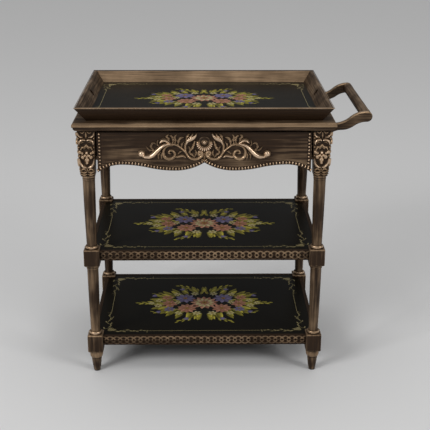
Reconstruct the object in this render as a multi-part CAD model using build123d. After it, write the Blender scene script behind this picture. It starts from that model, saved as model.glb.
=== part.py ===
from build123d import *
import os
from math import cos, radians, sin, tan

# A two-shelf tea trolley in carved wood: four turned legs, a table top with a
# scalloped frieze drawer, a lift-off tray, and a push handle on the right.
# Millimetres. X runs along the length, the drawer faces -Y, Z is up from the floor.

# Table top and the coved moulding under it
TOP_LENGTH = 708.0
TOP_DEPTH = 512.0
TOP_HEIGHT = 760.0
TOP_BOARD = 13.0
TOP_ROUND = 8.0
TOP_ARRIS = 2.0
MOULDING_DROP = 11.0
MOULDING_WIDTH = 64.0
MOULDING_REVEAL = 3.0
MOULDING_COVE = 7.0

# Legs, from the capital down to the glide
LEG_INSET_X = 36.0
LEG_INSET_Y = 40.0
CAPITAL_HEIGHT = 130.0
CAPITAL_TOP = 49.0
CAPITAL_FOOT = 39.0
CAPITAL_EDGE = 2.0
COLLAR_RADIUS = 18.5
COLLAR_HEIGHT = 8.0
NECK_RADIUS = 17.5
NECK_HEIGHT = 7.0
SHAFT_TOP_RADIUS = 17.0
SHAFT_FOOT_RADIUS = 14.0
LOWER_SHAFT_TOP_RADIUS = 16.0
LOWER_SHAFT_FOOT_RADIUS = 13.0
RING_RADIUS = 18.0
RING_HEIGHT = 10.0
RING_BULGE = 2.5
RING_BEVEL = 2.5
BULB_BEVEL = 5.0
BLOCK_SIZE = 44.0
BLOCK_EDGE = 2.0
BLOCK_RISE = 1.0
MIDDLE_BLOCK_HEIGHT = 51.0
LOWER_BLOCK_HEIGHT = 57.0
FOOT_BULB_RADIUS = 19.0
FOOT_BULB_HEIGHT = 16.0
FOOT_NECK_RADIUS = 14.5
FOOT_TIP_RADIUS = 10.5
GLIDE_RADIUS = 9.0
GLIDE_HEIGHT = 3.0

# Shelves: a lacquered panel in a frame of four rebated rails
SHELF_MIDDLE = 381.0
SHELF_LOWER = 114.0
PANEL_THICK = 8.0
RAIL_THICK = 18.0
RAIL_HEIGHT = 29.0
RAIL_LIP = 1.0
RAIL_SETBACK = 12.5
RAIL_REBATE = 8.0
RAIL_FILLET = 1.5
RAIL_FIELD_DEPTH = 3.0

# Joinery
TENON_LENGTH = 10.0
TENON_THICK = 8.0
RAIL_TENON_HEIGHT = 14.0
APRON_TENON_HEIGHT = 60.0
FIT = 0.2
SCREW_RADIUS = 2.0
SCREW_HEAD_RADIUS = 4.0
SCREW_HEAD_HEIGHT = 2.5

# Frieze: the drawer front and the three aprons share one scalloped lower edge
APRON_THICK = 18.0
APRON_SETBACK = 9.0
DRAWER_FRONT_THICK = 18.0
DRAWER_FRONT_SETBACK = 6.0
DRAWER_END_GAP = 3.0
DRAWER_TOP_GAP = 7.0
EDGE_END_DROP = 119.0
EDGE_CREST_DROP = 97.0
EDGE_LOW_DROP = 114.0
EDGE_CUSP_DROP = 91.0
CREST_FROM_END = 65.0
LONG_LOW_FROM_CENTRE = 79.0
SHORT_LOW_FROM_CENTRE = 55.0
BEAD_WIDTH = 6.0
BEAD_HEIGHT = 3.0
BEAD_INSET = 3.0

# Drawer box and what carries it
TOP_RAIL_THICK = 6.0
TOP_RAIL_WIDTH = 22.0
BOTTOM_RAIL_WIDTH = 20.0
RUNNER_DROP = 77.0
RUNNER_THICK = 12.0
RUNNER_REACH = 4.0
GUIDE_HEIGHT = 18.0
KICKER_THICK = 15.0
STOP_DEPTH = 8.0
STOP_HEIGHT = 5.0
DRAWER_SIDE_GAP = 7.0
DRAWER_SIDE_THICK = 12.0
DRAWER_SIDE_HEIGHT = 60.0
DRAWER_BACK_ROOM = 31.0
DRAWER_BACK_DROP = 5.0
DRAWER_BOTTOM_THICK = 6.0
DRAWER_BOTTOM_RISE = 6.0
DRAWER_GROOVE = 5.0
RUN = 0.3
GLUE_BLOCK_LENGTH = 60.0
GLUE_BLOCK_SIZE = 20.0
GLUE_BLOCK_SPACING = 300.0
TOP_SCREW_SPACING = 130.0
TOP_SCREW_BITE = 7.0

# Carved cartouche on the drawer front, which is also its pull
CARVING_DROP = 33.0
CARVING_HALF = 168.0
FLOWER_RADIUS = 20.0
FLOWER_DISC_RADIUS = 12.0
FLOWER_DISC_RISE = 5.0
FLOWER_BOSS_RADIUS = 7.0
FLOWER_PETALS = 12
PETAL_BULGE = 2.6
PETAL_RISE = 4.0
LEAF_BULGE = 4.0
LEAF_RISE = 3.5
BALL_RADIUS = 9.0
VOLUTE_RADIUS = 7.0
ARM_WIDTH = 12.0
ARM_RISE = 6.0
STEM_WIDTH = 5.0
STEM_RISE = 4.0

# Push handle
HANDLE_REACH = 105.0
HANDLE_RISE = 0.5
HANDLE_ARM_THICK = 16.0
HANDLE_ARM_GAP = 1.0
HANDLE_HEAD_RADIUS = 14.5
HANDLE_ROOT_HEIGHT = 38.0
HANDLE_WAIST_OUT = 21.0
HANDLE_WAIST_DROP = 13.0
HANDLE_STEP = 5.0
HANDLE_EDGE = 2.5
GRIP_RADIUS = 14.0
GRIP_COLLAR_RADIUS = 14.5
GRIP_COLLAR_LENGTH = 25.0
GRIP_TENON_RADIUS = 8.0
GRIP_TENON_LENGTH = 11.0
HANDLE_SCREW_DROP = 18.0
HANDLE_SCREW_PITCH = 12.0
HANDLE_SCREW_BITE = 12.0

# Lift-off tray
TRAY_INSET_X = 8.5
TRAY_INSET_Y = 0.5
TRAY_HEIGHT = 40.0
TRAY_FLARE = 35.0
TRAY_WALL = 11.5
TRAY_FLOOR = 9.0
TRAY_RIM_ROUND = 2.0
FINGER_HOLE_RADIUS = 11.0
FINGER_HOLE_HEIGHT = 23.0

# Places worked out from the sizes above
HALF_LENGTH = TOP_LENGTH / 2
HALF_DEPTH = TOP_DEPTH / 2
LEG_X = HALF_LENGTH - LEG_INSET_X
LEG_Y = HALF_DEPTH - LEG_INSET_Y
BOARD_UNDER = TOP_HEIGHT - TOP_BOARD
LEG_TOP = BOARD_UNDER - MOULDING_DROP
CAPITAL_UNDER = LEG_TOP - CAPITAL_HEIGHT
CAPITAL_HALF = CAPITAL_TOP / 2
CAPITAL_INNER_X = LEG_X - CAPITAL_HALF
CAPITAL_INNER_Y = LEG_Y - CAPITAL_HALF
BLOCK_HALF = BLOCK_SIZE / 2
MIDDLE_BLOCK_TOP = SHELF_MIDDLE + BLOCK_RISE
MIDDLE_BLOCK_UNDER = MIDDLE_BLOCK_TOP - MIDDLE_BLOCK_HEIGHT
LOWER_BLOCK_TOP = SHELF_LOWER + BLOCK_RISE
LOWER_BLOCK_UNDER = LOWER_BLOCK_TOP - LOWER_BLOCK_HEIGHT
RAIL_X = LEG_X + BLOCK_HALF - RAIL_SETBACK
RAIL_Y = LEG_Y + BLOCK_HALF - RAIL_SETBACK
APRON_X = LEG_X + CAPITAL_HALF - APRON_SETBACK
APRON_Y = LEG_Y + CAPITAL_HALF - APRON_SETBACK
APRON_INNER_X = APRON_X - APRON_THICK
APRON_INNER_Y = APRON_Y - APRON_THICK
EDGE_END_Z = LEG_TOP - EDGE_END_DROP
EDGE_CREST_Z = LEG_TOP - EDGE_CREST_DROP
EDGE_LOW_Z = LEG_TOP - EDGE_LOW_DROP
EDGE_CUSP_Z = LEG_TOP - EDGE_CUSP_DROP
APRON_TENON_Z = (EDGE_CREST_Z + LEG_TOP) / 2
DRAWER_FACE = LEG_Y + CAPITAL_HALF - DRAWER_FRONT_SETBACK
DRAWER_HALF = CAPITAL_INNER_X - DRAWER_END_GAP
DRAWER_TOP = LEG_TOP - DRAWER_TOP_GAP
BOX_FRONT = DRAWER_FRONT_THICK - DRAWER_FACE
BOX_BACK = APRON_INNER_Y - DRAWER_BACK_ROOM
SIDE_OUTER = CAPITAL_INNER_X - DRAWER_SIDE_GAP
SIDE_INNER = SIDE_OUTER - DRAWER_SIDE_THICK
RUNNER_TOP = LEG_TOP - RUNNER_DROP
SIDE_UNDER = RUNNER_TOP + RUN
SIDE_TOP = SIDE_UNDER + DRAWER_SIDE_HEIGHT
BOTTOM_UNDER = SIDE_UNDER + DRAWER_BOTTOM_RISE
BOTTOM_TOP = BOTTOM_UNDER + DRAWER_BOTTOM_THICK
RUNNER_INNER = SIDE_INNER - RUNNER_REACH
KICKER_UNDER = LEG_TOP - KICKER_THICK
ARM_Y = CAPITAL_INNER_Y - HANDLE_ARM_GAP - HANDLE_ARM_THICK / 2
HEAD_X = HALF_LENGTH + HANDLE_REACH - HANDLE_HEAD_RADIUS
HEAD_Z = TOP_HEIGHT + HANDLE_RISE
TRAY_LENGTH = TOP_LENGTH - 2 * TRAY_INSET_X
TRAY_DEPTH = TOP_DEPTH - 2 * TRAY_INSET_Y
TRAY_SLOPE = tan(radians(TRAY_FLARE))
CARCASS_X = -HANDLE_REACH / 2
CORNERS = {"front_left": (-1, -1), "front_right": (1, -1), "back_left": (-1, 1), "back_right": (1, 1)}
TURNS = {"front": 0, "right": 90, "back": 180, "left": 270}


def block(low, high):
    """Box between two opposite corners."""
    size = [b - a for a, b in zip(low, high)]
    centre = [(a + b) / 2 for a, b in zip(low, high)]
    return Pos(*centre) * Box(*size)


def on_side(side, out):
    """Place of a board's own frame on one side of the trolley, with its outer face `out` from the middle.

    In that frame the board runs along X, faces -Y at Y = 0 and has its thickness behind it.
    """
    return Rot(0, 0, TURNS[side]) * Pos(0, -out, 0)


def mirrored(shape):
    """A shape and its mirror image across the middle of the trolley."""
    return shape + mirror(shape, Plane.YZ)


def save(name, solid):
    """Write one piece, moved so that the whole trolley is centred over the origin."""
    export_step(Pos(CARCASS_X, 0, 0) * solid, f"parts/{name}.step")


os.makedirs("parts", exist_ok=True)


# Legs
def turning(points):
    """Solid turned about Z, from the radius and height of each corner of its outline."""
    outline = Polyline((0, points[0][1]), *points, (0, points[-1][1]), close=True)
    return revolve(Plane.XZ * make_face(outline), Axis.Z)


def ring(under, top, radius, bulge, bevel):
    """Corners of a turned ring: a flat band between two bevels."""
    return [(radius - bulge, under), (radius, under + bevel), (radius, top - bevel), (radius - bulge, top)]


def turned_lengths():
    """The turned lengths of a leg between its square blocks: the foot, the lower and the upper shaft."""
    bulb_under = LOWER_BLOCK_UNDER - FOOT_BULB_HEIGHT
    foot = turning([
        (FOOT_TIP_RADIUS, GLIDE_HEIGHT),
        (FOOT_NECK_RADIUS, bulb_under),
        *ring(bulb_under, LOWER_BLOCK_UNDER, FOOT_BULB_RADIUS, RING_BULGE, BULB_BEVEL),
    ])
    lower_foot = LOWER_BLOCK_TOP + RING_HEIGHT
    lower_head = MIDDLE_BLOCK_UNDER - RING_HEIGHT
    lower = turning([
        *ring(LOWER_BLOCK_TOP, lower_foot, RING_RADIUS, RING_BULGE, RING_BEVEL),
        (LOWER_SHAFT_FOOT_RADIUS, lower_foot),
        (LOWER_SHAFT_TOP_RADIUS, lower_head),
        *ring(lower_head, MIDDLE_BLOCK_UNDER, RING_RADIUS, RING_BULGE, RING_BEVEL),
    ])
    upper_foot = MIDDLE_BLOCK_TOP + RING_HEIGHT
    collar_under = CAPITAL_UNDER - COLLAR_HEIGHT
    neck_under = collar_under - NECK_HEIGHT
    upper = turning([
        *ring(MIDDLE_BLOCK_TOP, upper_foot, RING_RADIUS, RING_BULGE, RING_BEVEL),
        (SHAFT_FOOT_RADIUS, upper_foot),
        (SHAFT_TOP_RADIUS, neck_under),
        *ring(neck_under, collar_under, NECK_RADIUS, RING_BULGE / 2, RING_BEVEL),
        *ring(collar_under, CAPITAL_UNDER, COLLAR_RADIUS, RING_BULGE, RING_BEVEL),
    ])
    return foot + lower + upper


def capital():
    """Square head of a leg, wider at the top, with its long edges eased."""
    head = loft([
        Pos(0, 0, CAPITAL_UNDER) * Rectangle(CAPITAL_FOOT, CAPITAL_FOOT),
        Pos(0, 0, LEG_TOP) * Rectangle(CAPITAL_TOP, CAPITAL_TOP),
    ])
    upright = [edge for edge in head.edges() if abs((edge % 0.5).Z) > 0.9]
    return chamfer(upright, CAPITAL_EDGE)


def leg_block(under, top):
    """Square block where a shelf meets the leg, eased round its top and bottom."""
    cube = block((-BLOCK_HALF, -BLOCK_HALF, under), (BLOCK_HALF, BLOCK_HALF, top))
    levels = cube.edges().group_by(Axis.Z)
    return chamfer(levels[0] + levels[-1], BLOCK_EDGE)


def tenons(shoulder, thick, centre_z, height, grow=0.0):
    """The tenon at each end of a board, in the board's own frame, or with `grow` the sockets for them."""
    half_thick = TENON_THICK / 2 + grow
    half_height = height / 2 + grow
    tip = shoulder + TENON_LENGTH + grow
    pair = []
    for low_x, high_x in ((-tip, TENON_LENGTH - shoulder), (shoulder - TENON_LENGTH, tip)):
        low = (low_x, thick / 2 - half_thick, centre_z - half_height)
        high = (high_x, thick / 2 + half_thick, centre_z + half_height)
        pair.append(block(low, high))
    return pair


def rail_sides():
    """Side, distance out and half length between the leg blocks, for the four rails of a shelf."""
    along_x = LEG_X - BLOCK_HALF
    along_y = LEG_Y - BLOCK_HALF
    return [("front", RAIL_Y, along_x), ("back", RAIL_Y, along_x),
            ("left", RAIL_X, along_y), ("right", RAIL_X, along_y)]


def apron_sides():
    """Side, distance out, half length between the capitals, and leg distance, for the three aprons."""
    return [("left", APRON_X, CAPITAL_INNER_Y, LEG_Y), ("right", APRON_X, CAPITAL_INNER_Y, LEG_Y),
            ("back", APRON_Y, CAPITAL_INNER_X, LEG_X)]


def rail_tenon_z(shelf):
    """Height of the middle of a shelf rail's tenon, under the rebate."""
    return shelf + RAIL_LIP - RAIL_HEIGHT + RAIL_HEIGHT / 2 - RAIL_FILLET


sockets = []
for shelf in (SHELF_MIDDLE, SHELF_LOWER):
    for side, out, half in rail_sides():
        for socket in tenons(half, RAIL_THICK, rail_tenon_z(shelf), RAIL_TENON_HEIGHT, FIT):
            sockets.append(on_side(side, out) * socket)
for side, out, half, _ in apron_sides():
    for socket in tenons(half, APRON_THICK, APRON_TENON_Z, APRON_TENON_HEIGHT, FIT):
        sockets.append(on_side(side, out) * socket)

capital_head = capital()
whole_leg = turned_lengths() + capital_head
whole_leg += leg_block(MIDDLE_BLOCK_UNDER, MIDDLE_BLOCK_TOP)
whole_leg += leg_block(LOWER_BLOCK_UNDER, LOWER_BLOCK_TOP)
capitals = []
glides = []
for corner, (sx, sy) in CORNERS.items():
    place = Pos(sx * LEG_X, sy * LEG_Y, 0)
    near = [s for s in sockets if s.center().X * sx > 0 and s.center().Y * sy > 0]
    save(f"leg_{corner}", place * whole_leg - near)
    capitals.append(place * capital_head)
    glides.append(place * Pos(0, 0, GLIDE_HEIGHT / 2) * Cylinder(GLIDE_RADIUS, GLIDE_HEIGHT))
save("foot_glides", Compound(glides))


# Shelves
def shelf_rail(half, shelf):
    """Rail of a shelf frame: a sunk field outside for the carved guilloche, a rebate inside for the panel."""
    top = shelf + RAIL_LIP
    under = top - RAIL_HEIGHT
    rail = block((-half, 0, under), (half, RAIL_THICK, top))
    rail -= block((-half, 0, under + RAIL_FILLET), (half, RAIL_FIELD_DEPTH, top - RAIL_FILLET))
    rail -= block((-half, RAIL_THICK - RAIL_REBATE, shelf - PANEL_THICK), (half, RAIL_THICK, top))
    return rail + tenons(half, RAIL_THICK, rail_tenon_z(shelf), RAIL_TENON_HEIGHT)


def shelf_panel(shelf):
    """Lacquered panel that drops into the rebates, notched at its corners round the leg blocks."""
    edge_x = RAIL_X - RAIL_THICK + RAIL_REBATE - FIT
    edge_y = RAIL_Y - RAIL_THICK + RAIL_REBATE - FIT
    panel = block((-edge_x, -edge_y, shelf - PANEL_THICK), (edge_x, edge_y, shelf))
    notch = BLOCK_SIZE + 2 * FIT
    for sx, sy in CORNERS.values():
        panel -= Pos(sx * LEG_X, sy * LEG_Y, shelf) * Box(notch, notch, 4 * PANEL_THICK)
    return panel


for level, shelf in (("middle", SHELF_MIDDLE), ("lower", SHELF_LOWER)):
    save(f"shelf_{level}_panel", shelf_panel(shelf))
    for side, out, half in rail_sides():
        save(f"shelf_{level}_rail_{side}", on_side(side, out) * shelf_rail(half, shelf))


# Frieze boards
def ogee(start, end):
    """Two equal arcs that leave `start` level, turn halfway and arrive at `end` level."""
    turn = ((start[0] + end[0]) / 2, (start[1] + end[1]) / 2)
    way = end[0] - start[0]
    return TangentArc(start, turn, tangent=(way, 0)) + TangentArc(end, turn, tangent=(-way, 0))


def scallop(half):
    """Lower edge of the right half of a frieze board, by arcs: end, crest, low point, cusp in the middle."""
    crest = (half - CREST_FROM_END, EDGE_CREST_Z)
    low = (LONG_LOW_FROM_CENTRE if half > CAPITAL_INNER_Y else SHORT_LOW_FROM_CENTRE, EDGE_LOW_Z)
    edge = TangentArc(crest, (half, EDGE_END_Z), tangent=(1, 0)) + ogee(crest, low)
    return edge + TangentArc(low, (0, EDGE_CUSP_Z), tangent=(-1, 0))


def frieze_face(half, top, ears=0.0):
    """Outline of a frieze board over its scalloped edge, with plain ears past the scallop at both ends."""
    reach = half + ears
    edge = scallop(half)
    rest = [(half, EDGE_END_Z), (reach, EDGE_END_Z), (reach, top), (-reach, top), (-reach, EDGE_END_Z),
            (-half, EDGE_END_Z)]
    corners = [p for i, p in enumerate(rest) if i == 0 or p != rest[i - 1]]
    return make_face(edge + mirror(edge, Plane.YZ) + Polyline(*corners))


def frieze_board(half, top, thick, ears=0.0):
    """Frieze board in its own frame, its face at Y = 0."""
    return extrude(Plane.XZ * frieze_face(half, top, ears), -thick)


def edge_beading(half, top):
    """Half-round strip along the scalloped edge, as the ground of the carved beads."""
    strip = frieze_face(half, top) - Pos(0, BEAD_WIDTH) * frieze_face(half, top)
    return extrude(Plane.XZ * strip, BEAD_HEIGHT)


def end_beading(half, top):
    """Upright strips at both ends of a frieze board, down to its scalloped edge."""
    outer = half - BEAD_INSET
    upright = block((outer - BEAD_WIDTH, -BEAD_HEIGHT, EDGE_END_Z + BEAD_WIDTH), (outer, 0, top))
    return mirrored(upright)


handle_spots = [(APRON_INNER_X, side * ARM_Y, LEG_TOP - HANDLE_SCREW_DROP - row * HANDLE_SCREW_PITCH)
                for side in (-1, 1) for row in (0, 1)]


def screw(length, grow=0.0):
    """Countersunk wood screw along Z, its head's flat end at the origin, or with `grow` the hole for it."""
    shank = Pos(0, 0, length / 2) * Cylinder(SCREW_RADIUS + grow, length)
    head = Cone(SCREW_HEAD_RADIUS + grow, SCREW_RADIUS + grow, SCREW_HEAD_HEIGHT)
    return shank + Pos(0, 0, SCREW_HEAD_HEIGHT / 2) * head


handle_screw = Rot(0, 90, 0) * screw(APRON_THICK + HANDLE_SCREW_BITE)
handle_screw_hole = Rot(0, 90, 0) * screw(APRON_THICK + HANDLE_SCREW_BITE + FIT, FIT)
for side, out, half, leg in apron_sides():
    apron = frieze_board(half, LEG_TOP, APRON_THICK, leg - half)
    for sign in (-1, 1):
        apron -= Pos(sign * leg, CAPITAL_HALF - APRON_SETBACK, 0) * capital_head
    apron += tenons(half, APRON_THICK, APRON_TENON_Z, APRON_TENON_HEIGHT)
    apron = on_side(side, out) * apron
    if side == "right":
        apron -= [Pos(*spot) * handle_screw_hole for spot in handle_spots]
    save(f"apron_{side}", apron)
    save(f"apron_beading_{side}", on_side(side, out) * edge_beading(half, LEG_TOP))


# Table top
top_screw_x = (APRON_INNER_X + SIDE_OUTER) / 2
top_screw_spots = [(side * top_screw_x, row * TOP_SCREW_SPACING, KICKER_UNDER)
                   for side in (-1, 1) for row in (-1, 0, 1)]
top_screw_length = BOARD_UNDER + TOP_SCREW_BITE - KICKER_UNDER
top_screw_holes = [Pos(*spot) * screw(top_screw_length + FIT, FIT) for spot in top_screw_spots]
save("top_screws", Compound([Pos(*spot) * screw(top_screw_length) for spot in top_screw_spots]))

board = block((-HALF_LENGTH, -HALF_DEPTH, BOARD_UNDER), (HALF_LENGTH, HALF_DEPTH, TOP_HEIGHT))
levels = board.edges().group_by(Axis.Z)
board = fillet(levels[-1], TOP_ROUND)
board = fillet(board.edges().group_by(Axis.Z)[0], TOP_ARRIS)
save("table_top", board - top_screw_holes)


def mitred_strip(section, half, width):
    """Strip of one section along X, mitred at both ends to turn the corners of a rectangular frame."""
    strip = extrude(Plane.YZ * section, half, both=True)
    tall = strip.bounding_box().max.Z + width
    plan = Polygon((-half, 0), (half, 0), (half - width, width), (width - half, width), align=None)
    return strip & extrude(plan, tall)


def moulding_section():
    """Coved section: flush under the board, hollowed back to its foot."""
    cove = RadiusArc((0, BOARD_UNDER), (MOULDING_COVE, LEG_TOP), -MOULDING_DROP)
    return make_face(cove + Polyline((MOULDING_COVE, LEG_TOP), (MOULDING_WIDTH, LEG_TOP),
                                     (MOULDING_WIDTH, BOARD_UNDER), (0, BOARD_UNDER)))


for side in TURNS:
    long_side = side in ("front", "back")
    half = (HALF_LENGTH if long_side else HALF_DEPTH) - MOULDING_REVEAL
    out = (HALF_DEPTH if long_side else HALF_LENGTH) - MOULDING_REVEAL
    moulding = on_side(side, out) * mitred_strip(moulding_section(), half, MOULDING_WIDTH)
    save(f"top_moulding_{side}", moulding if long_side else moulding - top_screw_holes)


# Drawer carriage
rail_front = BOX_FRONT + RUN
top_rail = block((-LEG_X, rail_front, LEG_TOP - TOP_RAIL_THICK),
                 (LEG_X, rail_front + TOP_RAIL_WIDTH, LEG_TOP))
save("drawer_top_rail", top_rail - capitals)
rail_back = rail_front + BOTTOM_RAIL_WIDTH
runner_under = RUNNER_TOP - RUNNER_THICK
bottom_rail = block((-APRON_INNER_X, rail_front, runner_under), (APRON_INNER_X, rail_back, RUNNER_TOP))
save("drawer_bottom_rail", bottom_rail - capitals)
runner = block((RUNNER_INNER, rail_back, runner_under), (APRON_INNER_X, APRON_INNER_Y, RUNNER_TOP))
kicker = block((RUNNER_INNER, rail_front + TOP_RAIL_WIDTH, KICKER_UNDER),
               (APRON_INNER_X, APRON_INNER_Y, LEG_TOP))
guide = block((SIDE_OUTER + RUN, -CAPITAL_INNER_Y, RUNNER_TOP),
              (APRON_INNER_X, CAPITAL_INNER_Y, RUNNER_TOP + GUIDE_HEIGHT))
stop = block((SIDE_INNER, BOX_BACK + RUN, RUNNER_TOP),
             (SIDE_OUTER, BOX_BACK + RUN + STOP_DEPTH, RUNNER_TOP + STOP_HEIGHT))
for name, solid, cuts in (("runner", runner, capitals), ("guide", guide, []),
                          ("kicker", kicker, capitals + top_screw_holes)):
    for side, shape in (("right", solid), ("left", mirror(solid, Plane.YZ))):
        save(f"drawer_{name}_{side}", shape - cuts if cuts else shape)
save("drawer_stops", Compound([stop, mirror(stop, Plane.YZ)]))
glue_block = block((-GLUE_BLOCK_LENGTH / 2, APRON_INNER_Y - GLUE_BLOCK_SIZE, LEG_TOP - GLUE_BLOCK_SIZE),
                   (GLUE_BLOCK_LENGTH / 2, APRON_INNER_Y, LEG_TOP))
save("glue_blocks", Compound([Pos(side * GLUE_BLOCK_SPACING / 2, 0, 0) * glue_block for side in (-1, 1)]))

# Drawer
bottom_x = SIDE_INNER + DRAWER_GROOVE
bottom_slot = block((-bottom_x, BOX_FRONT - DRAWER_GROOVE, BOTTOM_UNDER), (bottom_x, BOX_BACK, BOTTOM_TOP))
drawer_front = on_side("front", DRAWER_FACE) * frieze_board(DRAWER_HALF, DRAWER_TOP, DRAWER_FRONT_THICK)
save("drawer_front", drawer_front - bottom_slot)
drawer_side = block((SIDE_INNER, BOX_FRONT, SIDE_UNDER), (SIDE_OUTER, BOX_BACK, SIDE_TOP)) - bottom_slot
save("drawer_side_right", drawer_side)
save("drawer_side_left", mirror(drawer_side, Plane.YZ))
save("drawer_back", block((-SIDE_INNER, BOX_BACK - DRAWER_SIDE_THICK, BOTTOM_TOP),
                          (SIDE_INNER, BOX_BACK, SIDE_TOP - DRAWER_BACK_DROP)))
save("drawer_bottom", block((FIT - bottom_x, BOX_FRONT - DRAWER_GROOVE + FIT, BOTTOM_UNDER),
                            (bottom_x - FIT, BOX_BACK, BOTTOM_TOP)))
drawer_beading = edge_beading(DRAWER_HALF, DRAWER_TOP) + end_beading(DRAWER_HALF, DRAWER_TOP)
save("drawer_beading", on_side("front", DRAWER_FACE) * drawer_beading)


# Carved cartouche, on the plane of the drawer front. Its points are in hundredths of its half width, from the
# flower's centre: scrolls are bevelled strokes along arcs, leaves are lens shapes.
def on_front(u, v):
    """Point of the cartouche on the drawer front."""
    return (u * CARVING_HALF / 100, LEG_TOP - CARVING_DROP + v * CARVING_HALF / 100)


def stroke(path, width, rise):
    """Ridge with bevelled sides along a path in the plane of the board."""
    path = Plane.XZ * path
    section = Polygon((0, -width / 2), (rise, -width / 4), (rise, width / 4), (0, width / 2), align=None)
    return sweep(Plane(path @ 0, x_dir=(0, -1, 0), z_dir=path % 0) * section, path)


def lens(root, tip, bulge):
    """Leaf-shaped outline between two points."""
    return make_face(SagittaArc(root, tip, bulge) + SagittaArc(tip, root, bulge))


def dome(radius):
    """Round boss, a half ball with a small flat on its crown."""
    return turning([(radius * cos(radians(turn)), radius * sin(radians(turn))) for turn in (0, 25, 50, 75)])


def cartouche():
    """S-scrolls that end in balls, thin C-scrolls and leaves, round a flower in the middle."""
    rise = ThreePointArc(on_front(98, -18), on_front(87, -21), on_front(76, -14))
    fall = TangentArc(on_front(76, -14), on_front(60, -1), tangent=rise % 1)
    half = stroke(rise, ARM_WIDTH, ARM_RISE) + stroke(fall, ARM_WIDTH, ARM_RISE)
    half += Plane.XZ * Pos(*on_front(100, -16)) * dome(BALL_RADIUS)
    half += Plane.XZ * Pos(*on_front(13, -24)) * dome(VOLUTE_RADIUS)
    stems = [
        ((61, -1), (43, -4), (28, -15)),
        ((28, -15), (20, -26), (7, -27)),
        ((30, -14), (33, -2), (24, 9)),
        ((50, -7), (62, -12), (50, -19)),
        ((50, -19), (42, -17), (27, -20)),
        ((8, -28), (2, -24), (8, -20)),
        ((21, -18), (15, -23), (18, -28)),
    ]
    for points in stems:
        half += stroke(ThreePointArc(*[on_front(*point) for point in points]), STEM_WIDTH, STEM_RISE)
    leaves = [((57, -3), (71, 3)), ((44, -4), (39, 11)), ((52, -2), (52, 12)), ((71, -5), (80, 5)),
              ((22, -13), (17, 13)), ((27, -2), (23, 14)), ((38, -7), (31, 10))]
    for root, tip in leaves:
        half += extrude(Plane.XZ * lens(on_front(*root), on_front(*tip), LEAF_BULGE), LEAF_RISE)
    petal = extrude(lens((0, 0), (FLOWER_RADIUS, 0), PETAL_BULGE), PETAL_RISE)
    flower = extrude(Circle(FLOWER_DISC_RADIUS), FLOWER_DISC_RISE)
    flower += Pos(0, 0, FLOWER_DISC_RISE) * dome(FLOWER_BOSS_RADIUS)
    flower += [turn * petal for turn in PolarLocations(0, FLOWER_PETALS)]
    proud = block((-DRAWER_HALF, -HALF_DEPTH, EDGE_LOW_Z), (DRAWER_HALF, 0, DRAWER_TOP))
    return (mirrored(half) + Plane.XZ * Pos(*on_front(0, 0)) * flower) & proud


save("drawer_carving", on_side("front", DRAWER_FACE) * cartouche())


# Push handle
def handle_arm():
    """Sawn arm: it leaves the apron under the top, steps up outside the moulding, rises to a round head."""
    clear_x = HALF_LENGTH + FIT
    head_top = (HEAD_X, HEAD_Z + HANDLE_HEAD_RADIUS)
    head_under = (HEAD_X, HEAD_Z - HANDLE_HEAD_RADIUS)
    waist = (HALF_LENGTH + HANDLE_WAIST_OUT, LEG_TOP - HANDLE_WAIST_DROP)
    root_low = (APRON_X, LEG_TOP - HANDLE_ROOT_HEIGHT)
    step = (clear_x, LEG_TOP + HANDLE_STEP)
    outline = Polyline(root_low, (APRON_X, LEG_TOP), (clear_x, LEG_TOP), step) + ogee(step, head_top)
    outline += ThreePointArc(head_top, (HEAD_X + HANDLE_HEAD_RADIUS, HEAD_Z), head_under)
    outline += ogee(head_under, waist)
    outline += TangentArc(waist, root_low, tangent=(-1, 0))
    arm = extrude(Plane.XZ * make_face(outline), HANDLE_ARM_THICK / 2, both=True)
    curved = [edge for edge in arm.edges() if edge.geom_type != GeomType.LINE]
    return chamfer(curved, HANDLE_EDGE)


grip_half = ARM_Y - HANDLE_ARM_THICK / 2
collar_end = grip_half - GRIP_COLLAR_LENGTH
grip = turning([
    (GRIP_TENON_RADIUS, -grip_half - GRIP_TENON_LENGTH),
    (GRIP_TENON_RADIUS, -grip_half),
    (GRIP_COLLAR_RADIUS, -grip_half),
    (GRIP_COLLAR_RADIUS, -collar_end),
    (GRIP_RADIUS, -collar_end),
    (GRIP_RADIUS, collar_end),
    (GRIP_COLLAR_RADIUS, collar_end),
    (GRIP_COLLAR_RADIUS, grip_half),
    (GRIP_TENON_RADIUS, grip_half),
    (GRIP_TENON_RADIUS, grip_half + GRIP_TENON_LENGTH),
])
grip_axis = Pos(HEAD_X, 0, HEAD_Z) * Rot(90, 0, 0)
save("handle_bar", grip_axis * grip)
grip_socket = grip_axis * Cylinder(GRIP_TENON_RADIUS + FIT, 2 * (grip_half + GRIP_TENON_LENGTH + FIT))
for name, side in (("front", -1), ("back", 1)):
    arm = Pos(0, side * ARM_Y, 0) * handle_arm() - grip_socket
    save(f"handle_arm_{name}", arm - [Pos(*spot) * handle_screw_hole for spot in handle_spots])
save("handle_screws", Compound([Pos(*spot) * handle_screw for spot in handle_spots]))

# Lift-off tray, standing on the table top
tray_rim = TOP_HEIGHT + TRAY_HEIGHT
tray_spread = TRAY_HEIGHT * TRAY_SLOPE


def tray_section():
    """Leaning wall of the tray, its rim rounded."""
    wall = Polygon((0, tray_rim), (TRAY_WALL, tray_rim), (TRAY_WALL + tray_spread, TOP_HEIGHT),
                   (tray_spread, TOP_HEIGHT), align=None)
    return fillet(wall.vertices().group_by(Axis.Y)[-1], TRAY_RIM_ROUND)


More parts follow.
